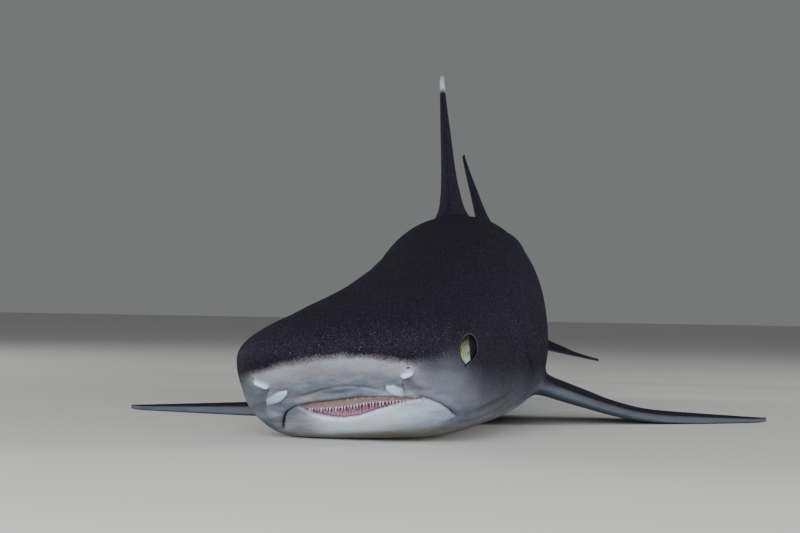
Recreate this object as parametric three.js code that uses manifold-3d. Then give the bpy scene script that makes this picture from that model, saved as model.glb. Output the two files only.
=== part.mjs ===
// Whitetip reef shark at life size, lying still on its belly: the head is turned to its right, the left side is
// raised a little, the pectoral fins are spread on the floor and the lower tail lobe props up the tail.
//
// Every form is first laid out straight, as (u, v, z) in millimetres: u runs back from the snout tip, v to the
// animal's left, z up from the floor. settle() then bends and rolls it into the resting pose. In the part's frame
// +X points forward along the trunk, +Y to the left, +Z up, and the origin is on the floor under the belly.
import * as THREE from "three";
import { mergeVertices } from "three/addons/utils/BufferGeometryUtils.js";
import Module from "manifold-3d";

const wasm = await Module();
wasm.setup();

// ---------------------------------------------------------------- driving dimensions
const LENGTH = 1400; // snout tip to the end of the upper tail lobe
const share = (percent) => (LENGTH * percent) / 100; // shares of the length are how fish are measured
const GAP = 0.3; // between neighbouring solids
const BELLY_REST = share(32); // the station that lies over the origin

// Body stations, as percentages of the length: half width, heights of the back, of the widest line and of the
// belly, and how square the section is above and below the widest line (2 is an ellipse).
const BODY_KEYS = ["at", "half", "back", "side", "belly", "squareTop", "squareBelly"];
const BODY = [
  [0.0, 0.0, 4.15, 4.15, 4.15, 2.0, 2.0],
  [0.3, 1.9, 4.7, 4.15, 3.72, 2.0, 2.0],
  [0.9, 3.2, 5.1, 4.12, 3.25, 2.1, 2.2],
  [1.8, 4.3, 5.5, 4.05, 2.62, 2.2, 2.5],
  [3.2, 5.15, 5.9, 3.9, 1.75, 2.2, 3.0],
  [4.4, 5.4, 6.2, 3.85, 0.75, 2.2, 3.5],
  [5.6, 5.5, 6.45, 3.8, 0.1, 2.2, 3.8],
  [7.2, 5.5, 6.85, 3.8, -0.12, 2.2, 3.7],
  [11.0, 5.5, 7.75, 3.95, -0.14, 2.15, 3.3],
  [16.0, 5.4, 9.1, 4.3, -0.12, 2.2, 2.7],
  [21.0, 5.25, 10.3, 4.7, -0.1, 2.3, 2.6],
  [28.0, 5.1, 11.5, 5.2, -0.12, 2.4, 2.6],
  [35.5, 4.95, 12.15, 5.5, -0.12, 2.35, 2.5],
  [43.0, 4.6, 12.4, 6.0, 0.1, 2.15, 2.4],
  [50.0, 3.95, 12.5, 7.2, 1.9, 2.0, 2.3],
  [56.0, 3.25, 12.65, 8.7, 4.7, 1.95, 2.2],
  [62.0, 2.6, 12.75, 10.0, 7.3, 2.0, 2.2],
  [69.0, 2.0, 12.0, 10.1, 8.2, 2.0, 2.0],
  [75.5, 1.5, 10.5, 8.95, 7.4, 2.0, 2.0],
  [80.0, 0.85, 11.1, 9.7, 8.6, 2.0, 2.0],
  [88.0, 0.35, 12.6, 11.8, 11.2, 2.0, 2.0],
].map((row) => Object.fromEntries(row.map((value, i) => [BODY_KEYS[i], i > 0 && i < 5 ? share(value) : value])));

// The pose, as [station in percent, degrees]: TURN swings the axis in plan, ROLL lifts the left side.
const TURN = [[0, 17], [11, 17], [28, 0], [36, 0], [51, 7], [62, 7], [75.5, -3], [100, -3]];
const ROLL = [[0, 5.2], [30, 5.4], [45, 7], [62, 19], [75.5, 22], [100, 22]];

// ---------------------------------------------------------------- curves through stations
// A smooth curve through (x, y) pairs that never overshoots them (monotone cubic).
function curve(points) {
  const n = points.length;
  const step = [];
  const slope = [];
  for (let i = 0; i < n - 1; i++) {
    step.push(points[i + 1][0] - points[i][0]);
    slope.push((points[i + 1][1] - points[i][1]) / step[i]);
  }
  const tangent = [slope[0]];
  for (let i = 1; i < n - 1; i++) {
    const [a, b] = [slope[i - 1], slope[i]];
    const wa = 2 * step[i] + step[i - 1];
    const wb = step[i] + 2 * step[i - 1];
    tangent.push(a * b <= 0 ? 0 : (wa + wb) / (wa / a + wb / b));
  }
  tangent.push(slope[n - 2]);
  return (x) => {
    if (x <= points[0][0]) return points[0][1];
    if (x >= points[n - 1][0]) return points[n - 1][1];
    let i = 0;
    while (x > points[i + 1][0]) i++;
    const t = (x - points[i][0]) / step[i];
    const t2 = t * t;
    const t3 = t2 * t;
    return (
      points[i][1] * (2 * t3 - 3 * t2 + 1) +
      tangent[i] * step[i] * (t3 - 2 * t2 + t) +
      points[i + 1][1] * (3 * t2 - 2 * t3) +
      tangent[i + 1] * step[i] * (t3 - t2)
    );
  };
}

// Body curves run over the square root of the station, so that the snout closes as round as an egg.
const bodyCurve = Object.fromEntries(
  BODY_KEYS.slice(1).map((key) => [key, curve(BODY.map((row) => [Math.sqrt(row.at), row[key]]))]),
);
const body = (key, u) => bodyCurve[key](Math.sqrt(Math.max(0, (100 * u) / LENGTH)));
const turnCurve = curve(TURN);
const rollCurve = curve(ROLL);

// ---------------------------------------------------------------- the resting pose
const PLAN_STEP = 2;
const plan = [[0, 0]]; // the axis seen from above, one point each PLAN_STEP
const turnAt = (u) => THREE.MathUtils.degToRad(turnCurve((100 * u) / LENGTH));
for (let u = 0; u < LENGTH * 1.1; u += PLAN_STEP) {
  const angle = turnAt(u + PLAN_STEP / 2);
  const [x, y] = plan.at(-1);
  plan.push([x - PLAN_STEP * Math.cos(angle), y + PLAN_STEP * Math.sin(angle)]);
}
function axisAt(u) {
  const i = Math.min(Math.floor(Math.max(u, 0) / PLAN_STEP), plan.length - 2);
  const t = Math.max(u, 0) / PLAN_STEP - i;
  return [0, 1].map((k) => plan[i][k] * (1 - t) + plan[i + 1][k] * t);
}
const REST = axisAt(BELLY_REST);

// Bends a straight (u, v, z) into the pose. With a hinge station the whole form moves as one rigid piece.
function settle(u, v, z, hinge = u) {
  const [x, y] = axisAt(hinge);
  const turn = turnAt(hinge);
  const roll = THREE.MathUtils.degToRad(rollCurve((100 * hinge) / LENGTH));
  const middle = body("side", hinge);
  const side = v * Math.cos(roll) - (z - middle) * Math.sin(roll);
  const height = middle + v * Math.sin(roll) + (z - middle) * Math.cos(roll);
  const ahead = hinge - u;
  return [
    x - REST[0] + ahead * Math.cos(turn) + side * Math.sin(turn),
    y - REST[1] - ahead * Math.sin(turn) + side * Math.cos(turn),
    height,
  ];
}

// ---------------------------------------------------------------- solids
function solidFrom(positions, triangles) {
  const made = new wasm.Manifold(
    new wasm.Mesh({
      numProp: 3,
      vertProperties: new Float32Array(positions.flat()),
      triVerts: new Uint32Array(triangles.flat()),
    }),
  );
  return made.volume() < 0 ? solidFrom(positions, triangles.map(([a, b, c]) => [a, c, b])) : made;
}

// A closed solid through rings of equal point counts, with a fan at each end. A thin plate has its two faces split
// alike, so that they stay apart where it curves.
function loft(rings, plate = false) {
  const count = rings[0].length;
  const positions = rings.flat();
  const triangles = [];
  for (let r = 0; r < rings.length - 1; r++) {
    for (let i = 0; i < count; i++) {
      const j = (i + 1) % count;
      const [a, b, c, d] = [r * count + i, r * count + j, (r + 1) * count + j, (r + 1) * count + i];
      if (plate && i >= count / 2) triangles.push([a, b, d], [b, c, d]);
      else triangles.push([a, b, c], [a, c, d]);
    }
  }
  for (const end of [0, rings.length - 1]) {
    const ring = rings[end];
    const hub = positions.length;
    positions.push([0, 1, 2].map((k) => ring.reduce((sum, p) => sum + p[k], 0) / count));
    for (let i = 0; i < count; i++) {
      const [a, b] = [end * count + i, end * count + ((i + 1) % count)];
      triangles.push(end === 0 ? [hub, b, a] : [hub, a, b]);
    }
  }
  return solidFrom(positions, triangles);
}

// A three.js geometry as a solid, moved by a matrix into the straight layout.
function solidOf(geometry, matrix = new THREE.Matrix4()) {
  const plain = geometry.clone().applyMatrix4(matrix);
  plain.deleteAttribute("normal");
  plain.deleteAttribute("uv");
  const merged = mergeVertices(plain, 1e-4);
  const { array } = merged.attributes.position;
  const { index } = merged;
  const positions = Array.from({ length: array.length / 3 }, (_, i) => [...array.slice(3 * i, 3 * i + 3)]);
  const triangles = Array.from({ length: index.count / 3 }, (_, i) => [...index.array.slice(3 * i, 3 * i + 3)]);
  return solidFrom(positions, triangles.filter(([a, b, c]) => a !== b && b !== c && a !== c));
}

// Moves every vertex of a solid by a function of its (x, y, z).
function moved(solid, place) {
  const { numProp, vertProperties, triVerts, numVert } = solid.getMesh();
  const positions = [];
  for (let i = 0; i < numVert; i++) {
    positions.push(place(...vertProperties.slice(i * numProp, i * numProp + 3)));
  }
  const triangles = Array.from({ length: triVerts.length / 3 }, (_, i) => [...triVerts.slice(3 * i, 3 * i + 3)]);
  return solidFrom(positions, triangles);
}
const settled = (solid, hinge) => moved(solid, (u, v, z) => settle(u, v, z, hinge));
const mirrored = (solid) => moved(solid, (u, v, z) => [u, -v, z]);

// The largest closed body of a solid: a cut may leave scraps.
function largest(solid) {
  return solid.decompose().sort((a, b) => b.volume() - a.volume())[0];
}
const onFloor = (solid) => largest(solid.trimByPlane([0, 0, 1], 0));

// ---------------------------------------------------------------- body form
const BODY_SIDES = 34; // points round a section
const HEAD_END = share(13.7);
const GILLS_END = share(20);
const TRUNK_END = share(46);
const STOCK_START = TRUNK_END;
const STOCK_END = share(75.6);

// One point of the section at station u; angle 0 is the left side and a quarter turn the back.
function skinPoint(u, angle, grow = 0) {
  const [c, s] = [Math.cos(angle), Math.sin(angle)];
  const square = body(s >= 0 ? "squareTop" : "squareBelly", u);
  const rise = (s >= 0 ? body("back", u) - body("side", u) : body("side", u) - body("belly", u)) + grow;
  const across = (body("half", u) + grow) * Math.sign(c) * Math.abs(c) ** (2 / square);
  return [u, across, body("side", u) + rise * Math.sign(s) * Math.abs(s) ** (2 / square)];
}

// Stations of the rings: close at the snout, then wider, closest where the head's forms are.
function ringStations(closest, widest) {
  const stations = [0.5];
  while (stations.at(-1) < share(89)) {
    const u = stations.at(-1);
    const most = u < HEAD_END ? closest : u < GILLS_END ? 1.3 * closest : widest;
    stations.push(u + Math.min(most, 0.9 + 0.3 * u));
  }
  return stations;
}

function bodyForm(grow = 0) {
  const ring = (u) =>
    Array.from({ length: BODY_SIDES }, (_, i) => skinPoint(u, (2 * Math.PI * i) / BODY_SIDES, grow));
  const rings = ringStations(8.5, 27).map(ring);
  if (grow) rings.unshift(ring(0.1).map(([, v, z]) => [-grow, v * 0.6, z]));
  return loft(rings);
}
const between = (solid, from, to) => solid.trimByPlane([1, 0, 0], from).trimByPlane([-1, 0, 0], -to);

const whole = bodyForm();
const settledGrown = settled(bodyForm(GAP));

// ---------------------------------------------------------------- mouth
const MOUTH = {
  corner: share(4.33), // half the width from corner to corner
  cornerHeight: share(0.8),
  lipHeight: share(2.04), // the upper lip at the middle
  arch: 4.5, // how late the lip line drops towards the corners
  open: share(3.0), // half the width of the part that stands open
  openHeight: share(0.88),
  lipDepth: 3, // from the lip's edge back to the gum
  upperGum: 5, // how far the upper gum shows below the lip
  lowerGum: 1.5, // how far the lower gum stands above the lip
  reach: share(3), // how deep the open mouth goes in
  jawBack: share(7.4),
};
const upperLip = (v) => {
  const across = Math.min(1, Math.abs(v) / MOUTH.corner);
  return MOUTH.cornerHeight + (MOUTH.lipHeight - MOUTH.cornerHeight) * Math.sqrt(1 - across ** MOUTH.arch);
};
const opening = (v) => MOUTH.openHeight * Math.max(0, 1 - (v / MOUTH.open) ** 2);
const lowerLip = (v) => upperLip(v) - opening(v);
const biteLine = (v) => upperLip(v) - opening(v) / 2;
const upperGum = (v) => biteLine(v) + Math.max(GAP / 2, opening(v) / 2 - MOUTH.upperGum);
const lowerGum = (v) => biteLine(v) - Math.max(GAP / 2, opening(v) / 2 - MOUTH.lowerGum);

// The first station where the body reaches the line at (v, z).
function frontAt(v, z) {
  for (let u = 0.5; u < share(15); u += 0.25) {
    const above = z >= body("side", u);
    const square = body(above ? "squareTop" : "squareBelly", u);
    const rise = Math.abs(body(above ? "back" : "belly", u) - body("side", u));
    const reach = (Math.abs(v) / body("half", u)) ** square + (Math.abs(z - body("side", u)) / rise) ** square;
    if (reach <= 1) return u;
  }
  return share(15);
}

// A curved slab across the head: low and high give its heights, back its depth, all at a place v across. Its
// sides are then moved out by grow.
function slab(wide, steps, low, high, back, grow = 0) {
  const rings = [];
  for (let i = 0; i <= steps; i++) {
    const across = (2 * i) / steps - 1;
    const v = wide * Math.sign(across) * (1 - (1 - Math.abs(across)) ** 1.7);
    const out = v + grow * across;
    rings.push([[-5, out, low(v)], [-5, out, high(v)], [back(v), out, high(v)], [back(v), out, low(v)]]);
  }
  return loft(rings);
}
const LIP_STEPS = 26;
const wideOpen = MOUTH.open - 1;
const mouthRoom = [
  slab(wideOpen, LIP_STEPS, biteLine, upperLip, (v) => frontAt(v, upperLip(v)) + MOUTH.lipDepth),
  slab(wideOpen, LIP_STEPS, lowerLip, biteLine, (v) => frontAt(v, lowerLip(v)) + MOUTH.lipDepth),
  slab(wideOpen, LIP_STEPS, lowerGum, upperGum, (v) => frontAt(v, upperLip(v)) + MOUTH.reach * (1 + opening(v) / MOUTH.openHeight) * 0.5),
];

// Everything under the bite line, from corner to corner and back to the end of the jaw.
const jawBlock = (grow) =>
  slab(MOUTH.corner, LIP_STEPS, () => -10, (v) => biteLine(v) + grow, () => MOUTH.jawBack + grow, grow);

// A repeatable scatter between -1 and 1.
function scatter(seed) {
  const x = Math.sin(seed * 127.1 + 11.7) * 43758.5453;
  return 2 * (x - Math.floor(x)) - 1;
}

// A row of small pointed teeth along the gum; up is 1 for the lower jaw and -1 for the upper.
function teeth(count, tall, up, seed) {
  const made = [];
  for (let i = 0; i < count; i++) {
    const v = MOUTH.open * 0.76 * ((2 * (i + 0.5)) / count - 1);
    const lip = up > 0 ? lowerLip(v) : upperLip(v);
    const gum = up > 0 ? lowerGum(v) : upperGum(v);
    const height = Math.min(tall * (1 + 0.2 * scatter(seed + i)), 0.6 * (upperGum(v) - lowerGum(v)));
    const sunk = 1.5;
    const cone = new THREE.ConeGeometry(0.95, height + sunk, 5);
    const place = new THREE.Matrix4().compose(
      new THREE.Vector3(
        frontAt(v, lip) + MOUTH.lipDepth + 1.6,
        v + 0.2 * scatter(seed + i + 50),
        gum + (up * (height - sunk)) / 2,
      ),
      new THREE.Quaternion().setFromEuler(
        new THREE.Euler((up * Math.PI) / 2 + 0.1 * scatter(seed + i + 90), 0.15, 0, "YXZ"),
      ),
      new THREE.Vector3(1, 1, 1),
    );
    made.push(solidOf(cone, place));
  }
  return made;
}

// ---------------------------------------------------------------- eyes
const EYE = {
  at: share(4.85), out: share(5.17), height: share(3.84),
  long: share(1.02), tall: share(0.8), deep: share(0.47), turn: 6, lean: 5, tip: -12,
};
const eyeFrame = (long, deep, tall) =>
  new THREE.Matrix4().compose(
    new THREE.Vector3(EYE.at, EYE.out, EYE.height),
    new THREE.Quaternion().setFromEuler(new THREE.Euler(...[EYE.lean, EYE.tip, EYE.turn].map(THREE.MathUtils.degToRad))),
    new THREE.Vector3(long, deep, tall),
  );
const ball = new THREE.SphereGeometry(1, 16, 9);
const eyeBall = solidOf(ball, eyeFrame(EYE.long, EYE.deep, EYE.tall));
const eyeSocket = solidOf(ball, eyeFrame(EYE.long + GAP, EYE.deep + GAP, EYE.tall + GAP));
const lidRing = new THREE.TorusGeometry(0.93, 0.12, 5, 20).rotateX(Math.PI / 2).translate(0, 0.56, 0);
const eyeLids = solidOf(lidRing, eyeFrame(EYE.long, EYE.deep, EYE.tall));

// ---------------------------------------------------------------- nostrils
// Each one has a small bulb with the opening above it, and a leaf that hangs from it to the lip.
const bump = new THREE.SphereGeometry(1, 10, 6);
// A rounded bump with its first axis along the given direction, its second one in the skin, its third one off it.
function placedBump(at, along, off, size) {
  const first = new THREE.Vector3(...along).normalize();
  const second = new THREE.Vector3(...off).cross(first).normalize();
  const third = new THREE.Vector3().crossVectors(first, second);
  const turn = new THREE.Quaternion().setFromRotationMatrix(new THREE.Matrix4().makeBasis(first, second, third));
  return solidOf(bump, new THREE.Matrix4().compose(new THREE.Vector3(...at), turn, new THREE.Vector3(...size)));
}
const SNOUT_UNDERSIDE = [-0.6, 0.3, -0.74];
const onSnout = (out, height, inward) => [frontAt(out, height) + inward, out, height];
const nostrilBulb = placedBump(onSnout(share(3.46), share(2.88), 0.5), [0.5, 1, 0.15], SNOUT_UNDERSIDE, [5.2, 3.7, 4]);
const nostrilLeaf = placedBump(onSnout(share(2.64), share(2.2), 0), [13.5, 14, -7], SNOUT_UNDERSIDE, [11, 4.4, 4.2]);
const nostrilHole = placedBump(onSnout(share(3.58), share(3.2), 0.5), [0.4, 1, 0], SNOUT_UNDERSIDE, [2.8, 1.1, 2.4]);

// ---------------------------------------------------------------- head, jaw and gills
let headForm = between(whole, -5, HEAD_END - GAP / 2);
for (const side of [(solid) => solid, mirrored]) {
  headForm = headForm.add(side(nostrilBulb)).add(side(nostrilLeaf)).subtract(side(nostrilHole));
  headForm = headForm.add(side(eyeLids)).subtract(side(eyeSocket));
}
for (const cut of [jawBlock(GAP / 2), ...mouthRoom]) headForm = headForm.subtract(cut);
for (const tooth of teeth(24, 2.4, -1, 7)) headForm = headForm.add(tooth);

let jawForm = between(whole, -5, HEAD_END).intersect(jawBlock(-GAP / 2));
for (const cut of mouthRoom) jawForm = jawForm.subtract(cut);
for (const tooth of teeth(30, 3.4, 1, 3)) jawForm = jawForm.add(tooth);

// Gill slits: thin curved cuts that run forward under the flap in front of each of them.
const GILLS = [[14.6, 2.75, 5.7], [15.8, 2.6, 5.9], [16.95, 2.5, 5.9], [18.05, 2.5, 5.7], [19.05, 2.6, 5.3]];
function gillCut([at, low, high]) {
  const steps = 6;
  const rings = [];
  for (let i = 0; i <= steps; i++) {
    const t = i / steps;
    const z = share(low + (high - low) * t);
    const u = share(at) + 5 * (t - 0.5) + 5 * Math.sin(Math.PI * t);
    const open = 0.3 + 0.6 * Math.sin(Math.PI * t);
    const square = body(z >= body("side", u) ? "squareTop" : "squareBelly", u);
    const rise = Math.abs(body(z >= body("side", u) ? "back" : "belly", u) - body("side", u));
    const out = body("half", u) * (1 - (Math.abs(z - body("side", u)) / rise) ** square) ** (1 / square);
    rings.push([[u - 2.5, out - 4, z], [u - 2.2, out - 4.2, z], [u + 1 + open, out + 2, z], [u + 1 - open, out + 2, z]]);
  }
  return loft(rings);
}
let gillForm = between(whole, HEAD_END + GAP / 2, GILLS_END - GAP / 2);
for (const gill of GILLS.map(gillCut)) gillForm = gillForm.subtract(gill).subtract(mirrored(gill));

const trunkForm = between(whole, GILLS_END + GAP / 2, TRUNK_END - GAP / 2);
const stockForm = between(whole, STOCK_START + GAP / 2, STOCK_END - GAP / 2);
const lobeCore = between(whole, STOCK_END + GAP / 2, share(87.5));

// ---------------------------------------------------------------- fins
// A fin is a loft of thin wing sections. Its plan is given along the span: where the leading and the trailing
// edge lie behind the fin's origin, as curves of the share of the span.
const WING = [0, 0.02, 0.1, 0.25, 0.45, 0.7, 1]; // shares of the chord where a section has points
const wingThickness = (x) =>
  10 * (0.2969 * Math.sqrt(x) - 0.126 * x - 0.3516 * x ** 2 + 0.2843 * x ** 3 - 0.1015 * x ** 4);

function fin({ height, sink, lead, trail, thick, spans, edge = 0.9, place }) {
  const rings = spans.map((t) => {
    const along = t < 0 ? t * sink : t * height;
    const from = lead(Math.max(t, 0));
    const to = Math.max(trail(Math.max(t, 0)), from + 2.5);
    const half = (x) => Math.max(edge / 2, (thick(Math.max(t, 0)) / 2) * wingThickness(x));
    const upper = WING.map((x) => place(from + (to - from) * x, along, half(x)));
    const lower = [...WING].reverse().map((x) => place(from + (to - from) * x, along, -half(x)));
    return [...upper, ...lower];
  });
  return loft(rings, true);
}
const FIN_SPANS = [-1, 0, 0.05, 0.1, 0.2, 0.34, 0.48, 0.62, 0.75, 0.86, 0.93, 0.975, 1];

// Plan of a typical fin: straight slanted front, rounded tip, hollow rear edge and a free rear tip.
function finPlan({ base, rearTip, apex, rearAt = 0.09 }) {
  const lead = curve([[0, 0], [0.5, apex * 0.44], [0.85, apex * 0.8], [0.95, apex * 0.93], [1, apex * 1.08]]);
  const trail = curve([
    [0, base], [rearAt * 0.5, rearTip * 0.97], [rearAt, rearTip], [0.3, apex * 0.52 + rearTip * 0.47],
    [0.6, apex * 0.86 + rearTip * 0.2], [0.85, apex * 1.08 + rearTip * 0.05], [0.95, apex * 1.12 + 2], [1, apex * 1.08 + 3],
  ]);
  return { lead, trail };
}

const FIRST_DORSAL = { at: share(35.6), base: share(9.6), height: share(10.1), apex: share(8.2), rearTip: share(12.9) };
const SECOND_DORSAL = { at: share(61), base: share(7.5), height: share(7.6), apex: share(5.9), rearTip: share(10.3) };
const ANAL = { at: share(62), base: share(6.6), height: share(5.3), apex: share(5.7), rearTip: share(9.2) };

function medianFin(size, thick, up) {
  const line = up > 0 ? "back" : "belly";
  const start = body(line, size.at);
  const slope = (body(line, size.at + size.base) - start) / size.base;
  return fin({
    ...size,
    ...finPlan(size),
    sink: share(0.9),
    thick,
    spans: FIN_SPANS,
    place: (c, s, h) => [size.at + c, h, start + slope * Math.min(c, size.base) + up * s],
  });
}
const firstDorsal = medianFin(FIRST_DORSAL, curve([[0, 30], [0.1, 21], [0.3, 13.5], [0.6, 9], [1, 3.4]]), 1);
const secondDorsal = medianFin(SECOND_DORSAL, curve([[0, 23], [0.12, 16], [0.35, 10], [0.65, 6.5], [1, 2.8]]), 1);
const analFin = medianFin(ANAL, curve([[0, 9.5], [0.15, 7.5], [0.5, 5.5], [1, 2.2]]), -1);

// A paired fin reaches out from the flank. Its front edge is the higher one at the root, by the pitch, and runs
// from rootHeight to tipHeight with a sag; the height of the span is the reach to the side. What would reach under
// the floor lies flat on it, at its full thickness.
function pairedFin({ at, out, rootHeight, tipHeight, base, height, apex, rearTip, pitch, sag, thick, side }) {
  const tilt = THREE.MathUtils.degToRad(pitch);
  const front = (s) => rootHeight + (tipHeight - rootHeight) * (s / height) * (1 + sag - (sag * s) / height);
  const lift = (u, v, z) => 1.5 * Math.log1p(Math.exp(-settle(u, v, z, at + base / 2)[2] / 1.5));
  return fin({
    height,
    sink: share(1.2),
    ...finPlan({ base, rearTip, apex, rearAt: 0.2 }),
    thick,
    spans: FIN_SPANS,
    place: (c, s, h) => {
      const v = side * (out + s);
      const u = at + c * Math.cos(tilt) + h * Math.sin(tilt);
      const level = front(s) - c * Math.sin(tilt) * (1 - 0.85 * Math.max(0, s / height));
      const under = level - Math.abs(h) * Math.cos(tilt);
      return [u, v, level + h * Math.cos(tilt) + lift(u, v, under)];
    },
  });
}
const PECTORAL = {
  at: share(19.4), out: share(4.5), base: share(6.0), rearTip: share(10.2),
  thick: curve([[0, 17], [0.2, 13], [0.6, 8], [1, 3]]),
};
const PELVIC = {
  at: share(46.6), out: share(2.9), rootHeight: share(3.5), base: share(5.4), height: share(5.2),
  apex: share(5.0), rearTip: share(8.4), pitch: -8, sag: 0.15, thick: curve([[0, 9], [0.3, 7], [1, 2.4]]),
};
const leftPectoral = pairedFin({
  ...PECTORAL, rootHeight: share(1.7), height: share(12.6), apex: share(8), pitch: -1.5, sag: 0.8,
  tipHeight: share(-2), side: 1,
});
const rightPectoral = pairedFin({
  ...PECTORAL, rootHeight: share(1.2), height: share(15.2), apex: share(5.4), pitch: -1, sag: 0.15,
  tipHeight: share(0.6), side: -1,
});
const leftPelvic = pairedFin({ ...PELVIC, tipHeight: share(1.3), side: 1 });
const rightPelvic = pairedFin({ ...PELVIC, tipHeight: share(2.4), side: -1 });

// ---------------------------------------------------------------- tail fin
const LOBE = { start: share(75), length: share(25), rise: 14 };
const lobeAxis = (s) => {
  const rise = THREE.MathUtils.degToRad(LOBE.rise);
  return [LOBE.start + s * Math.cos(rise), body("side", LOBE.start) + s * Math.sin(rise)];
};
const upperEdge = curve([[0, share(1.2)], [0.1, share(1.7)], [0.4, share(1.9)], [0.75, share(1.5)], [0.93, share(1.0)], [1, share(0.1)]]);
const lowerEdge = curve([
  [0, share(1.5)], [0.12, share(3.3)], [0.26, share(2.9)], [0.45, share(1.7)], [0.68, share(1.15)], [0.735, share(1.0)],
  [0.76, share(2.6)], [0.86, share(2.4)], [0.95, share(1.7)], [1, share(0.9)],
]);
const LOBE_SPANS = [0, 0.06, 0.12, 0.2, 0.3, 0.42, 0.55, 0.66, 0.73, 0.76, 0.83, 0.9, 0.96, 1];
const upperLobe = loft(
  LOBE_SPANS.map((t) => {
    const [u, z] = lobeAxis(t * LOBE.length);
    const rise = THREE.MathUtils.degToRad(LOBE.rise);
    const [top, bottom] = [upperEdge(t), lowerEdge(t)];
    const half = (x) => Math.max(0.5, (2.2 + 6.5 * (1 - t) ** 1.3) * Math.max(0, 1 - (2 * x - 1) ** 2) ** 0.7 * 0.9);
    const at = (x, h) => {
      const across = top - (top + bottom) * x;
      return [u - across * Math.sin(rise), h, z + across * Math.cos(rise)];
    };
    const shares = [0, 0.04, 0.18, 0.4, 0.65, 0.88, 1];
    return [...shares.map((x) => at(x, half(x))), ...[...shares].reverse().map((x) => at(x, -half(x)))];
  }),
  true,
);
const LOWER_LOBE = { at: share(76.2), height: share(12.4), slant: 56, base: share(5.6) };
const lowerLobe = (() => {
  const slant = THREE.MathUtils.degToRad(LOWER_LOBE.slant);
  const out = [Math.cos(slant), -Math.sin(slant)];
  const root = [LOWER_LOBE.at, body("side", LOWER_LOBE.at)];
  return fin({
    height: LOWER_LOBE.height,
    sink: share(0.3),
    lead: curve([[0, 0], [0.6, share(0.1)], [0.9, share(0.4)], [1, share(0.95)]]),
    trail: curve([[0, LOWER_LOBE.base], [0.35, share(4.0)], [0.6, share(2.5)], [0.85, share(1.6)], [0.95, share(1.35)], [1, share(1.15)]]),
    thick: curve([[0, 12], [0.3, 8], [1, 2.6]]),
    spans: FIN_SPANS,
    place: (c, s, h) => [root[0] + out[0] * s + c * Math.sin(slant) * 1.0, h, root[1] + out[1] * s + c * Math.cos(slant)],
  });
})();
const caudalForm = between(lobeCore.add(upperLobe).add(lowerLobe), STOCK_END + GAP / 2, LENGTH * 1.1);

// ---------------------------------------------------------------- the shark
const SKIN_DARK = 0x3d3a3f;
const SKIN_PALE = 0xb9b6ba;
const FINISH = {
  skin: { color: SKIN_DARK, roughness: 0.6, metalness: 0 },
  jaw: { color: SKIN_PALE, roughness: 0.55, metalness: 0 },
  eye: { color: 0xaab59a, roughness: 0.1, metalness: 0 },
};
const shark = new THREE.Group();
function addNode(name, solid, finish) {
  const { numProp, vertProperties, triVerts, numVert } = solid.getMesh();
  const positions = new Float32Array(numVert * 3);
  for (let i = 0; i < numVert; i++) {
    positions.set(vertProperties.subarray(i * numProp, i * numProp + 3), i * 3);
  }
  const geometry = new THREE.BufferGeometry()
    .setAttribute("position", new THREE.BufferAttribute(positions, 3))
    .setIndex(new THREE.BufferAttribute(new Uint32Array(triVerts), 1));
  geometry.computeVertexNormals();
  const mesh = new THREE.Mesh(geometry, new THREE.MeshStandardMaterial(FINISH[finish]));
  mesh.name = name;
  shark.add(mesh);
}
const rooted = (finForm, hinge) => onFloor(settled(finForm, hinge).subtract(settledGrown));

addNode("head", onFloor(settled(largest(headForm))), "skin");
addNode("lower_jaw", onFloor(settled(largest(jawForm))), "jaw");
addNode("gill_region", onFloor(settled(gillForm)), "skin");
addNode("trunk", onFloor(settled(trunkForm)), "skin");
addNode("tail_stock", onFloor(settled(stockForm)), "skin");
addNode("caudal_fin", onFloor(settled(largest(caudalForm))), "skin");
addNode("first_dorsal_fin", rooted(firstDorsal, FIRST_DORSAL.at + FIRST_DORSAL.base / 2), "skin");
addNode("second_dorsal_fin", rooted(secondDorsal, SECOND_DORSAL.at + SECOND_DORSAL.base / 2), "skin");
addNode("anal_fin", rooted(analFin, ANAL.at + ANAL.base / 2), "skin");
addNode("left_pectoral_fin", rooted(leftPectoral, PECTORAL.at + PECTORAL.base / 2), "skin");
addNode("right_pectoral_fin", rooted(rightPectoral, PECTORAL.at + PECTORAL.base / 2), "skin");
addNode("left_pelvic_fin", rooted(leftPelvic, PELVIC.at + PELVIC.base / 2), "skin");
addNode("right_pelvic_fin", rooted(rightPelvic, PELVIC.at + PELVIC.base / 2), "skin");
addNode("left_eye", settled(eyeBall), "eye");
addNode("right_eye", settled(mirrored(eyeBall)), "eye");

export default shark;
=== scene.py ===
# A whitetip reef shark at life size, lying still on its belly with its head turned a little to its right.
import math

import bpy
import numpy as np
from mathutils import Matrix, Vector, kdtree


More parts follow.
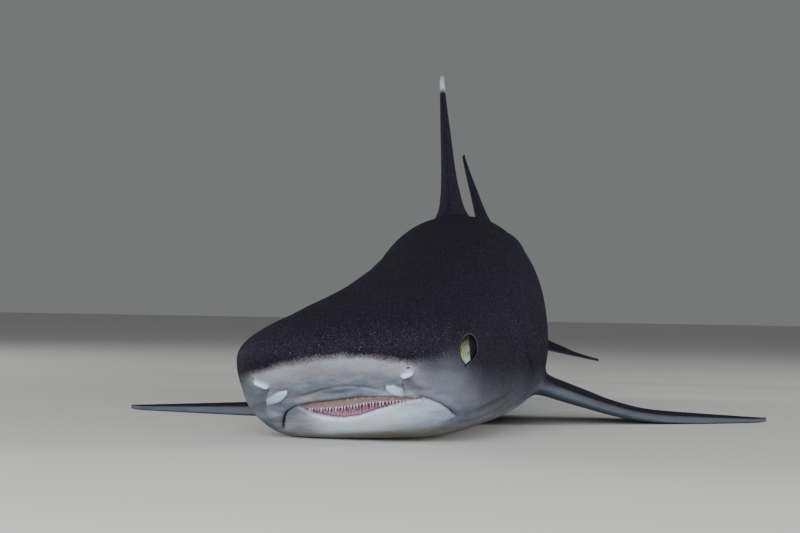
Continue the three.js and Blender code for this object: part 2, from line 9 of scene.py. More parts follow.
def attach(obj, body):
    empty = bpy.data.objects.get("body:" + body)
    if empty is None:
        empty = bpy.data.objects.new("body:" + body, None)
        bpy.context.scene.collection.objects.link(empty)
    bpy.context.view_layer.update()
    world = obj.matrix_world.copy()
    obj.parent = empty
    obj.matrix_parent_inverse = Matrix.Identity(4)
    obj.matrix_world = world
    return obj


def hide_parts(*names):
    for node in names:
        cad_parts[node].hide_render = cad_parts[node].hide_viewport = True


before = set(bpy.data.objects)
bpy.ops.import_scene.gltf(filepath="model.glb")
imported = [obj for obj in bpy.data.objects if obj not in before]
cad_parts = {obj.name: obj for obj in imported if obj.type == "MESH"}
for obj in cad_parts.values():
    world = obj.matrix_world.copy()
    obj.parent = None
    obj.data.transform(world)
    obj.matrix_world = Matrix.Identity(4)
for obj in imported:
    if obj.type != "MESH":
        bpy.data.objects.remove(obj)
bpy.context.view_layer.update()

# ================================================================ the resting pose
# A shark's body is one flexible column of muscle on a cartilage spine. It is described here as it would lie
# straight, as (u, v, z) in millimetres: u runs back from the snout tip, v to the animal's left, z up from the
# floor. settle() then bends it sideways and rolls it into the pose it rests in.
LENGTH = 1400.0
BELLY_REST = 0.32 * LENGTH  # the station that lies over the origin
# by percent of the length: the degrees by which the axis points to the right of ahead, and leans over to the right
TURN = [[0, 17], [11, 17], [28, 0], [36, 0], [51, 7], [62, 7], [75.5, -3], [100, -3]]
ROLL = [[0, 5.2], [30, 5.4], [45, 7], [62, 19], [75.5, 22], [100, 22]]


def share(percent):
    return LENGTH * percent / 100


def curve(points):
    """A smooth curve through (x, y) pairs that never overshoots them."""
    x, y = np.array(points, float).T
    step = np.diff(x)
    slope = np.diff(y) / step
    tangent = np.zeros(len(x))
    tangent[0], tangent[-1] = slope[0], slope[-1]
    for i in range(1, len(x) - 1):
        before, after = slope[i - 1], slope[i]
        if before * after > 0:
            wide, narrow = 2 * step[i] + step[i - 1], step[i] + 2 * step[i - 1]
            tangent[i] = (wide + narrow) / (wide / before + narrow / after)

    def value(at):
        at = np.clip(np.asarray(at, float), x[0], x[-1])
        i = np.clip(np.searchsorted(x, at, side="right") - 1, 0, len(x) - 2)
        t = (at - x[i]) / step[i]
        t2, t3 = t * t, t * t * t
        start = y[i] * (2 * t3 - 3 * t2 + 1) + tangent[i] * step[i] * (t3 - 2 * t2 + t)
        return start + y[i + 1] * (3 * t2 - 2 * t3) + tangent[i + 1] * step[i] * (t3 - t2)

    return value


# Stations as percentages of the length: half width, heights of the back, of the widest line and of the belly, and
# how square the section is above and below the widest line (2 is an ellipse).
BODY_KEYS = ["half", "back", "side", "belly", "square_top", "square_belly"]
BODY = [
    [0.0, 0.0, 4.15, 4.15, 4.15, 2.0, 2.0],
    [0.3, 1.9, 4.7, 4.15, 3.72, 2.0, 2.0],
    [0.9, 3.2, 5.1, 4.12, 3.25, 2.1, 2.2],
    [1.8, 4.3, 5.5, 4.05, 2.62, 2.2, 2.5],
    [3.2, 5.15, 5.9, 3.9, 1.75, 2.2, 3.0],
    [4.4, 5.4, 6.2, 3.85, 0.75, 2.2, 3.5],
    [5.6, 5.5, 6.45, 3.8, 0.1, 2.2, 3.8],
    [7.2, 5.5, 6.85, 3.8, -0.12, 2.2, 3.7],
    [11.0, 5.5, 7.75, 3.95, -0.14, 2.15, 3.3],
    [16.0, 5.4, 9.1, 4.3, -0.12, 2.2, 2.7],
    [21.0, 5.25, 10.3, 4.7, -0.1, 2.3, 2.6],
    [28.0, 5.1, 11.5, 5.2, -0.12, 2.4, 2.6],
    [35.5, 4.95, 12.15, 5.5, -0.12, 2.35, 2.5],
    [43.0, 4.6, 12.4, 6.0, 0.1, 2.15, 2.4],
    [50.0, 3.95, 12.5, 7.2, 1.9, 2.0, 2.3],
    [56.0, 3.25, 12.65, 8.7, 4.7, 1.95, 2.2],
    [62.0, 2.6, 12.75, 10.0, 7.3, 2.0, 2.2],
    [69.0, 2.0, 12.0, 10.1, 8.2, 2.0, 2.0],
    [75.5, 1.5, 10.5, 8.95, 7.4, 2.0, 2.0],
    [80.0, 0.85, 11.1, 9.7, 8.6, 2.0, 2.0],
    [88.0, 0.35, 12.6, 11.8, 11.2, 2.0, 2.0],
]
body_curves = {
    key: curve([[math.sqrt(row[0]), share(row[i + 1]) if i < 4 else row[i + 1]] for row in BODY])
    for i, key in enumerate(BODY_KEYS)
}


def body(key, u):
    return body_curves[key](np.sqrt(np.maximum(0, 100 * np.asarray(u, float) / LENGTH)))


def angle_along(keys):
    """A curve of radians over stations in millimetres."""
    degrees = curve(keys)
    return lambda u: np.radians(degrees(100 * np.asarray(u, float) / LENGTH))


turn_at, roll_at = angle_along(TURN), angle_along(ROLL)
AXIS_STEP = 2.0
axis_u = np.arange(0, LENGTH * 1.1 + AXIS_STEP, AXIS_STEP)
axis_turn = turn_at(axis_u[:-1] + AXIS_STEP / 2)
axis_x = np.concatenate([[0], np.cumsum(-AXIS_STEP * np.cos(axis_turn))])
axis_y = np.concatenate([[0], np.cumsum(AXIS_STEP * np.sin(axis_turn))])
axis_x -= np.interp(BELLY_REST, axis_u, axis_x)
axis_y -= np.interp(BELLY_REST, axis_u, axis_y)


def spine_at(u):
    """Turn, roll, x, y and height of the body's axis at stations."""
    return turn_at(u), roll_at(u), np.interp(u, axis_u, axis_x), np.interp(u, axis_u, axis_y), body("side", u)


def settle(points, hinge=None):
    """Puts straight points into the pose, in millimetres. With a hinge station they move as one rigid piece."""
    u, v, z = np.asarray(points, float).T
    at = np.maximum(u, 0) if hinge is None else np.full(len(u), float(hinge))
    turn, roll, axis_at_x, axis_at_y, middle = spine_at(at)
    side = v * np.cos(roll) - (z - middle) * np.sin(roll)
    height = middle + v * np.sin(roll) + (z - middle) * np.cos(roll)
    ahead = at - u
    x = axis_at_x + ahead * np.cos(turn) + side * np.sin(turn)
    y = axis_at_y - ahead * np.sin(turn) + side * np.cos(turn)
    return np.stack([x, y, height], -1)


def unsettle(points):
    """The straight (u, v, z) of posed points in millimetres."""
    x, y, height = np.asarray(points, float).T
    u = np.clip(axis_u[np.argmin(np.abs(axis_x[None, ::10] - x[:, None]), 1) * 10], 0, LENGTH * 1.05)
    for _ in range(12):  # each round moves the station most of the way to the point's own one
        turn, _, axis_at_x, axis_at_y, _ = spine_at(u)
        behind = -(x - axis_at_x) * np.cos(turn) + (y - axis_at_y) * np.sin(turn)
        u = np.clip(u + np.clip(behind, -25, 25) * 0.8, -5, LENGTH * 1.08)
    turn, roll, axis_at_x, axis_at_y, middle = spine_at(u)
    side = (x - axis_at_x) * np.sin(turn) + (y - axis_at_y) * np.cos(turn)
    rise = height - middle
    v = side * np.cos(roll) + rise * np.sin(roll)
    z = middle - side * np.sin(roll) + rise * np.cos(roll)
    return np.stack([u + np.where(u <= 0, behind, 0), v, z], -1)


# ================================================================ body skin: the bare form
# Head, jaw, gill region, trunk and tail stock are covered by one skin. Its mesh is laid out on a disc with the
# snout tip at the centre: the radius is the square root of the station and the angle goes round the section. It
# is split finely where lips, nostrils, eyes and gill slits are, and coarsely on the smooth flanks.
SKIN_END = 9.38  # radius of the disc, a little inside the tail fin
SNOUT_TIP, FACE_END = 0.05, share(16)  # the stations between which lines on the face are looked for


def half_section(u, above):
    """How square and how high the half of the section over or under the widest line is."""
    square = np.where(above, body("square_top", u), body("square_belly", u))
    return square, np.abs(np.where(above, body("back", u), body("belly", u)) - body("side", u))


def on_body(domain):
    """Straight points of the bare body for points of the disc."""
    radius = np.maximum(np.hypot(domain[:, 0], domain[:, 1]), 1e-9)
    c, s = domain[:, 0] / radius, domain[:, 1] / radius
    u = LENGTH * radius**2 / 100
    square, rise = half_section(u, s >= 0)
    v = body("half", u) * np.sign(c) * np.abs(c) ** (2 / square)
    return np.stack([u, v, body("side", u) + rise * np.sign(s) * np.abs(s) ** (2 / square)], -1)


def front_at(v, z):
    """The first station where the bare body reaches the line at (v, z)."""
    v, z = np.broadcast_arrays(np.asarray(v, float), np.asarray(z, float))
    low, high = np.full(v.shape, SNOUT_TIP), np.full(v.shape, FACE_END)
    for _ in range(40):
        u = (low + high) / 2
        side = body("side", u)
        square, rise = half_section(u, z >= side)
        inside = (np.abs(v) / body("half", u)) ** square + (np.abs(z - side) / (rise + 1e-9)) ** square <= 1
        low, high = np.where(inside, low, u), np.where(inside, u, high)
    return high


def front_line(points):
    """A line on the front of the head through (v, z) points, as straight points."""
    v, z = np.array(points, float).T
    return np.stack([front_at(v, z), v, z], -1)


def dense(line, steps=90):
    """The same line with evenly spaced points."""
    line = np.asarray(line, float)
    gone = np.concatenate([[0], np.cumsum(np.linalg.norm(np.diff(line, axis=0), axis=1))])
    at = np.linspace(0, gone[-1], steps)
    return np.stack([np.interp(at, gone, line[:, k]) for k in range(3)], -1)


def to_line(points, line, reach=1e9):
    """Distance of points to a line, the nearest place on it and how far along it that is, from 0 to 1."""
    line = np.asarray(line, float)
    distance = np.full(len(points), 1e3)
    foot = np.zeros((len(points), 3))
    along = np.zeros(len(points))
    near = np.all((points > line.min(0) - reach) & (points < line.max(0) + reach), axis=1)
    picked = points[near]
    best, best_foot, best_along = np.full(len(picked), 1e3), np.zeros((len(picked), 3)), np.zeros(len(picked))
    for i in range(len(line) - 1):
        start, step = line[i], line[i + 1] - line[i]
        t = np.clip((picked - start) @ step / (step @ step), 0, 1)
        place = start + t[:, None] * step
        away = np.linalg.norm(picked - place, axis=1)
        closer = away < best
        best[closer], best_foot[closer] = away[closer], place[closer]
        best_along[closer] = (i + t[closer]) / (len(line) - 1)
    distance[near], foot[near], along[near] = best, best_foot, best_along
    return distance, foot, along


def halfway(a, b):
    """The middle between points of the disc, at the mean of their radii."""
    middle = (a + b) / 2
    radius = (np.hypot(*a.T) + np.hypot(*b.T)) / 2
    length = np.hypot(*middle.T)
    return middle * np.where(length > 0.3 * radius, radius / np.maximum(length, 1e-9), 1)[:, None]


def sides_of(faces):
    """All sides of the triangles, as sorted pairs of points, three to a triangle."""
    return np.sort(faces[:, [[0, 1], [1, 2], [2, 0]]], axis=2).reshape(-1, 2)


def split_finer(domain, faces, shape, spacing, rounds=24):
    """Halves every edge that is longer than spacing allows, longest edges first, so that faces stay shapely."""
    for _ in range(rounds):
        points = shape(domain)
        ends = sides_of(faces)
        keys, edge_of = np.unique(ends[:, 0] * len(domain) + ends[:, 1], return_inverse=True)
        edge_of = edge_of.reshape(-1, 3)
        a, b = keys // len(domain), keys % len(domain)
        length = np.linalg.norm(points[a] - points[b], axis=1)
        marked = length > spacing((points[a] + points[b]) / 2)
        longest = np.argmax(length[edge_of], axis=1)
        rows = np.arange(len(faces))
        while True:
            grown = marked.copy()
            grown[edge_of[rows, longest][marked[edge_of].any(1)]] = True
            if (grown == marked).all():
                break
            marked = grown
        if not marked.any():
            break
        new = np.full(len(keys), -1)
        new[marked] = len(domain) + np.arange(marked.sum())
        domain = np.concatenate([domain, halfway(domain[a[marked]], domain[b[marked]])])
        order = (longest[:, None] + np.arange(3)) % 3
        f = np.take_along_axis(faces, order, 1)
        m = np.take_along_axis(new[edge_of], order, 1)
        whole = m[:, 0] < 0
        second, third = m[:, 1] >= 0, m[:, 2] >= 0
        parts = [f[whole]]
        for chosen, corners in [
            (~whole & ~third, (f[:, 0], m[:, 0], f[:, 2])),
            (~whole & third, (f[:, 0], m[:, 0], m[:, 2])),
            (~whole & third, (m[:, 2], m[:, 0], f[:, 2])),
            (~whole & ~second, (m[:, 0], f[:, 1], f[:, 2])),
            (~whole & second, (m[:, 0], f[:, 1], m[:, 1])),
            (~whole & second, (m[:, 0], m[:, 1], f[:, 2])),
        ]:
            parts.append(np.stack(corners, -1)[chosen])
        faces = np.concatenate(parts)
    return domain, faces


def disc_mesh(columns=20):
    """A disc with rings of points, the centre point first."""
    radii = [0.15, 0.4]
    while radii[-1] < SKIN_END:
        radii.append(min(SKIN_END, radii[-1] + 0.34))
    angle = 2 * np.pi * np.arange(columns) / columns
    rings = [[[0.0, 0.0]]] + [np.stack([r * np.cos(angle), r * np.sin(angle)], -1) for r in radii]
    faces = [[0, 1 + i, 1 + (i + 1) % columns] for i in range(columns)]
    for r in range(len(radii) - 1):
        for i in range(columns):
            j = (i + 1) % columns
            a, b = 1 + r * columns + i, 1 + r * columns + j
            c, d = b + columns, a + columns
            faces += [[a, d, c], [a, c, b]] if (i + r) % 2 else [[a, d, b], [b, d, c]]
    return np.concatenate(rings), np.array(faces)


# ---------------------------------------------------------------- the lines that the skin follows
# Lips, nostrils, lids, gill slits and folds run along lines on the bare body, given as (v, z) seen from the front or
# as straight points. The mouth hangs open a little more on its right side. What is alike on both sides is given
# for the left one and found with both_sides().
UPPER_LIP = [
    [-52.4, 9.6], [-50.4, 13.0], [-47.4, 16.4], [-44.8, 19.6], [-42.0, 21.8], [-38.5, 23.4], [-32.0, 25.3],
    [-22.0, 26.8], [-12.0, 27.4], [-2.0, 27.9], [8.0, 28.4], [16.0, 28.6], [24.0, 28.1], [32.0, 27.4], [40.0, 26.4],
    [48.0, 24.4], [54.0, 23.4], [58.9, 21.1], [62.2, 17.0], [63.6, 11.6],
]
opening = curve([
    [-60, 0], [-34.5, 0], [-31.5, 2.4], [-26.7, 6.4], [-20.7, 9.5], [-13, 12.0], [-4, 13.2], [3, 13.0], [10, 11.8],
    [18.5, 9.7], [28, 7.2], [37.6, 4.1], [44, 1.9], [50, 0.4], [53, 0], [70, 0],
])
WIDEST = 14.1  # the opening at which the mouth's shapes have their full strength, in millimetres
LIP_REACH, JAW_REACH = 30, 60  # how far the lips' shapes and the jaw's colour reach
upper_lip = dense(front_line(UPPER_LIP), 120)
lower_lip = upper_lip.copy()
lower_lip[:, 2] -= opening(lower_lip[:, 1])
lower_lip[:, 0] = front_at(lower_lip[:, 1], lower_lip[:, 2])
lip_fold = dense(front_line([
    [-34.5, 29.4], [-27.8, 30.7], [-22.0, 31.5], [-14.0, 33.0], [-7.5, 34.3], [1.5, 35.3], [11.1, 35.4], [18.4, 34.6],
    [24.0, 33.1], [32.0, 30.2],
]))


def both_sides(points):
    return np.stack([points[:, 0], np.abs(points[:, 1]), points[:, 2]], -1)


def on_flank(u, z):
    """The point of the left flank at station u and height z."""
    u, z = np.broadcast_arrays(np.asarray(u, float), np.asarray(z, float))
    side = body("side", u)
    square, rise = half_section(u, z >= side)
    out = np.maximum(0, 1 - (np.abs(z - side) / rise) ** square) ** (1 / square)
    return np.stack([u, body("half", u) * out, z], -1)


# by side: the hole, the bulb under it and the hollow below, as (v, z) on the face
NOSTRILS = {
    1: ([50.6, 44.0], [[46.7, 39.9], [50.4, 41.2]], [[46.2, 38.6], [46.6, 34.0], [47.2, 29.5], [48.6, 25.6]]),
    -1: ([53.2, 43.8], [[45.2, 39.3], [50.4, 41.8]], [[45.6, 37.2], [49.6, 34.0], [53.4, 30.0], [56.0, 26.5]]),
}
nostrils = {side: (front_line([hole])[0], dense(front_line(bulb), 8), dense(front_line(hollow), 30))
            for side, (hole, bulb, hollow) in NOSTRILS.items()}

EYE_CENTRE = np.array([share(4.85), share(5.17), share(3.84)])
EYE_AXES = np.array([share(1.02), share(0.47), share(0.8)])
EYE_TURN = np.array(
    Matrix.Rotation(math.radians(5), 3, "X")
    @ Matrix.Rotation(math.radians(-12), 3, "Y")
    @ Matrix.Rotation(math.radians(6), 3, "Z")
)


def in_eye(points):
    """Straight points of the left side in the eyeball's own axes, in which the ball has a radius of one."""
    return (points - EYE_CENTRE) @ EYE_TURN / EYE_AXES


def from_eye(local):
    return EYE_CENTRE + (local * EYE_AXES) @ EYE_TURN.T


# The opening between the lids, in the eyeball's own axes, as [degrees, radius] round its middle. The lids meet in
# a point, low down in front, and the lower one runs straight up to the rear.
LID_MIDDLE = -0.12
LID_TIP = math.radians(-118)
LIDS = [
    [-180, 0.765], [-165, 0.79], [-147, 0.80], [-132, 0.815], [-124, 0.845], [-118, 0.90], [-113, 0.80], [-106, 0.70],
    [-92, 0.61], [-75, 0.56], [-50, 0.57], [-25, 0.64], [0, 0.70], [26, 0.73], [52, 0.72], [82, 0.68], [116, 0.69],
    [147, 0.735], [180, 0.765],
]
lid_radius = curve([[math.radians(at), radius] for at, radius in LIDS])
socket_radius = curve([[math.radians(at), min(radius, 0.82)] for at, radius in LIDS])


def lid_point(angle, grow=1.0):
    """Place on the opening's edge: x and z in the eyeball's axes."""
    return LID_MIDDLE + grow * lid_radius(angle) * np.cos(angle), grow * lid_radius(angle) * np.sin(angle)


lid_angle = np.linspace(-np.pi, np.pi, 80)
lid_x, lid_z = lid_point(lid_angle)
lid_line = from_eye(np.stack([lid_x, np.sqrt(np.maximum(0, 1 - lid_x**2 - lid_z**2)), lid_z], -1))

GILLS = [[15.8, 2.6, 5.9], [16.95, 2.5, 5.9], [18.05, 2.5, 5.7], [19.05, 2.6, 5.3]]
# the first slit runs on below into a fold of the throat
gill_lines = [dense(on_flank(
    [190, 185, 184, 188, 196, 208, 219, 226, 228, 224, 218], [82, 72, 62, 52, 44, 37, 32.5, 27, 22, 17.5, 14],
), 60)]
for at, low, high in GILLS:
    t = np.linspace(0, 1, 24)
    gill_lines.append(on_flank(share(at) + 5 * (t - 0.5) + 5 * np.sin(np.pi * t), share(low + (high - low) * t)))

cheek_folds = [
    dense(on_flank([71, 85, 108, 136, 164, 186], [12.5, 13.4, 15.0, 17.5, 21.5, 27.0]), 50),
    dense(on_flank([82, 104, 130, 158, 186], [6.5, 7.6, 10.0, 14.5, 19.5]), 50),
]


# ---------------------------------------------------------------- folds, lips, lids and slits
def ramp(x, low, high):
    t = np.clip((x - low) / (high - low), 0, 1)
    return t * t * (3 - 2 * t)


def hump(x, middle, width):
    return np.exp(-(((x - middle) / width) ** 2))


def ends_fade(along, low, high):
    """Fades a line's effect out towards its two ends."""
    return ramp(np.minimum(along, 1 - along), low, high)


def over_line(points, normals, line, foot, along):
    """Which points lie on the left of a line as seen from outside, at their nearest place on it."""
    run = np.gradient(line, axis=0)[(along * (len(line) - 1)).astype(int)]
    return np.einsum("ij,ij->i", points - foot, np.cross(run, normals)) > 0


def rounded_edge(distance, radius):
    """How far a rounded edge falls away, at a distance outside its line."""
    d = np.clip(distance, 0, radius)
    return radius - np.sqrt(radius**2 - (radius - d) ** 2)


def outward(points, faces):
    """Normals of the points of a mesh that is closed, or nearly so."""
    a, b, c = points[faces[:, 0]], points[faces[:, 1]], points[faces[:, 2]]
    cross = np.cross(b - a, c - a)
    total = np.zeros_like(points)
    for k in range(3):
        for axis in range(3):
            total[:, axis] += np.bincount(faces[:, k], cross[:, axis], len(points))
    if np.einsum("ij,ij->", a, cross) < 0:
        total = -total
    return total / np.maximum(np.linalg.norm(total, axis=1, keepdims=True), 1e-12)


def sculpt(points, normals):
    """Moves the bare skin to its real surface. Also gives marks, from 0 to 1, of what is coloured on its own, painted
    shade among them.
    """
    moved = np.zeros(len(points))  # along the normal
    shift = np.zeros_like(points)
    u, v, z = points.T
    twin = both_sides(points)

    # the mouth: full lips that roll in over a rounded edge, and the hollow between them
    up_away, up_foot, up_along = to_line(points, upper_lip, LIP_REACH)
    low_away, low_foot, low_along = to_line(points, lower_lip, LIP_REACH)
    above_upper = over_line(points, normals, upper_lip, up_foot, up_along)
    above_lower = over_line(points, normals, lower_lip, low_foot, low_along)
    in_mouth = ~above_upper & above_lower & (up_away < LIP_REACH)
    wide = opening(up_foot[:, 1]) / WIDEST
    closed = 1 - ramp(wide, 0.0, 0.25)
    upper_side, lower_side = above_upper & (up_away < LIP_REACH), ~above_lower & (low_away < LIP_REACH)
    end_fade = ends_fade(up_along, 0.0, 0.05)
    roll_in = 0.35 + 0.65 * end_fade
    moved -= np.where(upper_side, rounded_edge(up_away, 1.7) * roll_in, 0)
    moved += np.where(upper_side, 1.3 * hump(up_away, 3.2, 3.0) * end_fade, 0)
    moved -= np.where(lower_side, rounded_edge(low_away, 2.4 - 1.0 * closed) * roll_in, 0)
    full = 0.9 * ramp(opening(v) / WIDEST, 0.0, 0.7) - 0.6
    moved += np.where(lower_side, full * hump(low_away, 6.0, 7.0) * end_fade, 0)
    inside = np.minimum(up_away, low_away)
    deep = np.where(in_mouth, ramp(inside, 0.0, 1.6), 0)
    moved -= np.where(in_mouth, 1.9, 0)
    shift += (deep * 16 * ramp(wide, 0.0, 0.6))[:, None] * np.array([1.0, 0.0, 0.16])
    away, _, along = to_line(points, lip_fold, 15)
    fade = ends_fade(along, 0, 0.25)
    fold = hump(away, 0, 1.0) * fade
    moved += (0.35 * hump(away, 3.0, 2.0) - 0.7 * hump(away, 0, 1.4)) * fade
    mouth = np.where(in_mouth, ramp(inside, -0.2, 0.5), 0)
    # painted shade: dark along the line where the lips meet, where the mouth is closed, and faintly along the fold over
    # the upper lip
    recess_shade = np.where(up_away < 12, hump(up_away, 0.0, 0.75) * closed, 0) * end_fade
    recess_shade = np.maximum(recess_shade, 0.2 * fold)

    # the nostrils: a hole over a small bulb, and a hollow that widens towards the mouth
    hole, bulb, shade = np.full(len(points), 9.0), np.zeros(len(points)), np.zeros(len(points))
    for side, (hole_place, bulb_line, hollow_line) in nostrils.items():
        own = np.sign(v) == side
        hole[own] = np.linalg.norm((twin[own] - hole_place) * np.array([1.0, 1.0, 1.75]), axis=1)
        bulb[own] = np.exp(-((to_line(twin[own], bulb_line, 12)[0] / 2.15) ** 2.7))
        hollow_away, hollow_foot, hollow_along = to_line(twin[own], hollow_line, 15)
        lateral = twin[own, 1] > hollow_foot[:, 1]
        hollow_width = np.where(lateral, 1.6 + 6.0 * hollow_along, 1.2)
        shade[own] = np.exp(-((hollow_away / hollow_width) ** 2)) * ramp(hollow_along, -0.05, 0.25)
        moved[own] -= 2.3 * shade[own]
    moved += 2.5 * bulb
    moved -= 3.6 * ramp(1.25 - hole, 0, 0.8)
    # painted shade: the hole is dark, and the hollow beside each flap a little darker
    hole_dark = ramp(1.35 - hole, 0, 0.4)
    nostril = ramp(bulb, 0.0, 0.95) * (1 - hole_dark)
    recess_shade = np.maximum(recess_shade, np.maximum(hole_dark, 0.34 * shade))

    # the lids: an opening round the eyeball with a thin raised rim, and a brow over it
    local = in_eye(twin)
    angle = np.arctan2(local[:, 2], local[:, 0] - LID_MIDDLE)
    away = np.hypot(local[:, 0] - LID_MIDDLE, local[:, 2])
    out, far = away / lid_radius(angle), away / socket_radius(angle)
    near_eye = (np.abs(local[:, 1]) < 3) & (out < 2.4) & (twin[:, 1] > 40)
    rim_x, rim_z = lid_point(angle)
    ball_at_rim = np.sqrt(np.maximum(0, 1 - rim_x**2 - rim_z**2)) + 0.07
    ball_below = np.sqrt(np.maximum(0, 1 - local[:, 0] ** 2 - local[:, 2] ** 2)) - 0.5
    on_rim = np.where(out < 1, ball_below + (ball_at_rim - ball_below) * ramp(out, 0.9, 1.0), ball_at_rim)
    rim_height = on_rim + (local[:, 1] - on_rim) * ramp(far, 1.0, 1.8)
    tip = hump(angle, LID_TIP, math.radians(13))
    rear = np.cos((angle - 0.35) / 2) ** 2
    rim_height += (0.04 + 0.07 * rear) * hump(out, 1.15, 0.065) * (1 - 0.9 * tip) - 0.04 * hump(far, 1.36, 0.13)
    rim_height += 0.16 * hump(far, 1.6, 0.3) * np.maximum(0, np.sin(angle)) ** 2
    lifted = local.copy()
    lifted[:, 1] = rim_height
    lid_shift = from_eye(lifted) - from_eye(local)
    lid_shift[:, 1] *= np.sign(v)
    shift[near_eye] += lid_shift[near_eye]
    lid = np.where(near_eye, hump(out, 1.15, 0.045) * (0.04 + 0.96 * rear) * (1 - tip), 0)
    # painted shade: the skin inside the opening, down to the eyeball, is near black
    low_front = hump(angle, math.radians(-148), math.radians(36))
    socket_shade = np.where(near_eye, 1 - ramp(out, 1.03, 1.11 + 0.05 * tip + 0.11 * low_front), 0)

    # the gill slits: each has a flap in front that overlaps the sunken skin behind
    for number, line in enumerate(gill_lines):
        away, foot, along = to_line(twin, line, 16)
        fade = np.sqrt(np.clip(np.sin(np.pi * along), 0, 1)) * ends_fade(along, -0.02, 0.12)
        front = twin[:, 0] < foot[:, 0]
        moved += np.where(front, 1.3 * hump(away, 1.5, 5.0) - 0.6 * rounded_edge(away, 1.2), 0) * fade
        moved -= np.where(front, 0, 2.3 * hump(away, 0, 3.6)) * fade
        # painted shade: a dark line along each slit
        recess_shade = np.maximum(recess_shade, hump(away, 0.2, 1.2) * fade)
        if number == 0:  # the first one stands out as a thick fold over a broad dark groove
            moved += np.where(front, 1.9 * hump(away, 3.5, 5.0), -3.0 * hump(away, 2.5, 5.0)) * fade
            # painted shade: the broad groove behind the first slit is dark, and so is the edge of the flap in front of
            # it
            groove = np.where(front, 0.7 - 0.7 * ramp(away, 1.0, 4.5), 1 - ramp(away, 3.0, 7.5))
            recess_shade = np.maximum(recess_shade, groove * fade)

    # soft folds behind the corners of the mouth, and slow waves over the muscles
    fold_shade = np.zeros(len(points))
    for line in cheek_folds:
        away, _, along = to_line(twin, line, 16)
        fade = ends_fade(along, 0, 0.3)
        moved += (0.7 * hump(away, 4.5, 2.8) - 1.1 * hump(away, 0, 2.0)) * fade
        # painted shade, brownish, along the groove of each fold
        fold_shade = np.maximum(fold_shade, 0.55 * hump(away, 0, 3.2) * fade)
    # the right cheek is a little fuller than the left one
    moved += 4.2 * hump(u, 44, 24) * hump(z, 21, 14) * ramp(-v, 42, 60)
    wave = np.sin(u / 17 + 2.1 * np.sin(z / 23)) * np.sin(z / 14 + v / 31) + 0.6 * np.sin(u / 9.5 + v / 13 + 1.3)
    moved += 0.16 * wave * ramp(u, 60, 130)

    # the jaw is white under the lip and stops just over the floor; painted shade greys it downwards from 10 to 20 mm up
    # and towards the corners of the mouth
    jaw_away, _, jaw_along = to_line(points, lower_lip, JAW_REACH)
    jaw = (jaw_away < JAW_REACH) * (z < np.interp(v, lower_lip[:, 1], lower_lip[:, 2])) * (1 - ramp(u, 74, 84))
    jaw_shade_top = np.interp(v, [-40, 0, 15, 35, 50], [9.5, 9.5, 10.5, 15.5, 20.5])
    jaw = jaw * (0.3 * ramp(z, 4.0, 6.5) + 0.7 * ramp(z, 0.4 * jaw_shade_top, jaw_shade_top))
    jaw = jaw * ends_fade(jaw_along, 0, 0.02) * (1 - 0.95 * ramp(-v, 14, 38) - 0.3 * ramp(v, 25, 45))
    marks = {
        "recess_shade": recess_shade, "mouth": mouth, "lid": lid, "nostril": nostril, "socket_shade": socket_shade, "jaw": jaw, "fold_shade": fold_shade,
    }
    return points + normals * moved[:, None] + shift, marks


def skin_spacing(points):
    """The longest edge allowed at straight points."""
    twin = both_sides(points)
    allowed = np.interp(points[:, 0], [0, 60, 150, 260, 700, 1250], [3.6, 3.6, 5.0, 8.0, 10.0, 6.0])
    features = [
        (points, upper_lip, 0.95, 2.8), (points, lower_lip, 0.95, 2.8), (points, lip_fold, 1.3, 2.0),
        (twin, lid_line, 0.72, 1.7),
    ]
    for side, (hole_place, bulb_line, hollow_line) in nostrils.items():
        turned = np.array([1, side, 1])
        features += [
            (points, (hole_place + np.array([[0, -0.5, 0], [0, 0.5, 0]])) * turned, 0.5, 1.2),
            (points, bulb_line * turned, 0.9, 2.4), (points, hollow_line * turned, 1.5, 4.0),
        ]
    features += [(twin, line, 1.5, 2.2) for line in gill_lines] + [(twin, line, 2.6, 4.0) for line in cheek_folds]
    features += [(points, line, 3.4, 8.0) for line in root_lines]
    for place, line, fine, band in features:
        reach = band + (allowed.max() - fine) / 0.4
        away, _, _ = to_line(place, line, reach)
        allowed = np.minimum(allowed, fine + 0.4 * np.maximum(0, away - band))
    return allowed


# ================================================================ fins
# Stiff plates of cartilage rays under skin: thick and rounded in front, paper thin behind, with a free rear tip.
# Each one is a loft of thin wing sections, set on the body as one rigid piece at the middle of its root. What
# would reach under the floor lies flat on it instead.
WING = np.concatenate([[0, 0.002, 0.006, 0.014, 0.028, 0.05, 0.08, 0.12], np.linspace(0.17, 0.95, 17), [0.98, 1.0]])
FLOOR_GAP = 0.25  # the lowest skin stays this far above the floor
RINGS_APART = 3.2  # the spacing of a fin's sections
THIN_EDGE = 0.8  # a fin is nowhere thinner than this


def wing_thickness(x):
    """Half thickness of a wing section along its chord, one at its thickest."""
    return 10 * (0.2969 * np.sqrt(x) - 0.126 * x - 0.3516 * x**2 + 0.2843 * x**3 - 0.1015 * x**4)


def fin_plan(base, apex, rear_tip, rear_at=0.09):
    """Leading and trailing edge behind the fin's origin, as curves of the share of the span."""
    lead = curve([[0, 0], [0.5, apex * 0.44], [0.85, apex * 0.8], [0.95, apex * 0.93], [1, apex * 1.08]])
    trail = curve([
        [0, base], [rear_at * 0.5, rear_tip * 0.97], [rear_at, rear_tip], [0.3, apex * 0.52 + rear_tip * 0.47],
        [0.6, apex * 0.86 + rear_tip * 0.2], [0.85, apex * 1.08 + rear_tip * 0.05], [0.95, apex * 1.12 + 2],
        [1, apex * 1.08 + 3],
    ])
    return lead, trail


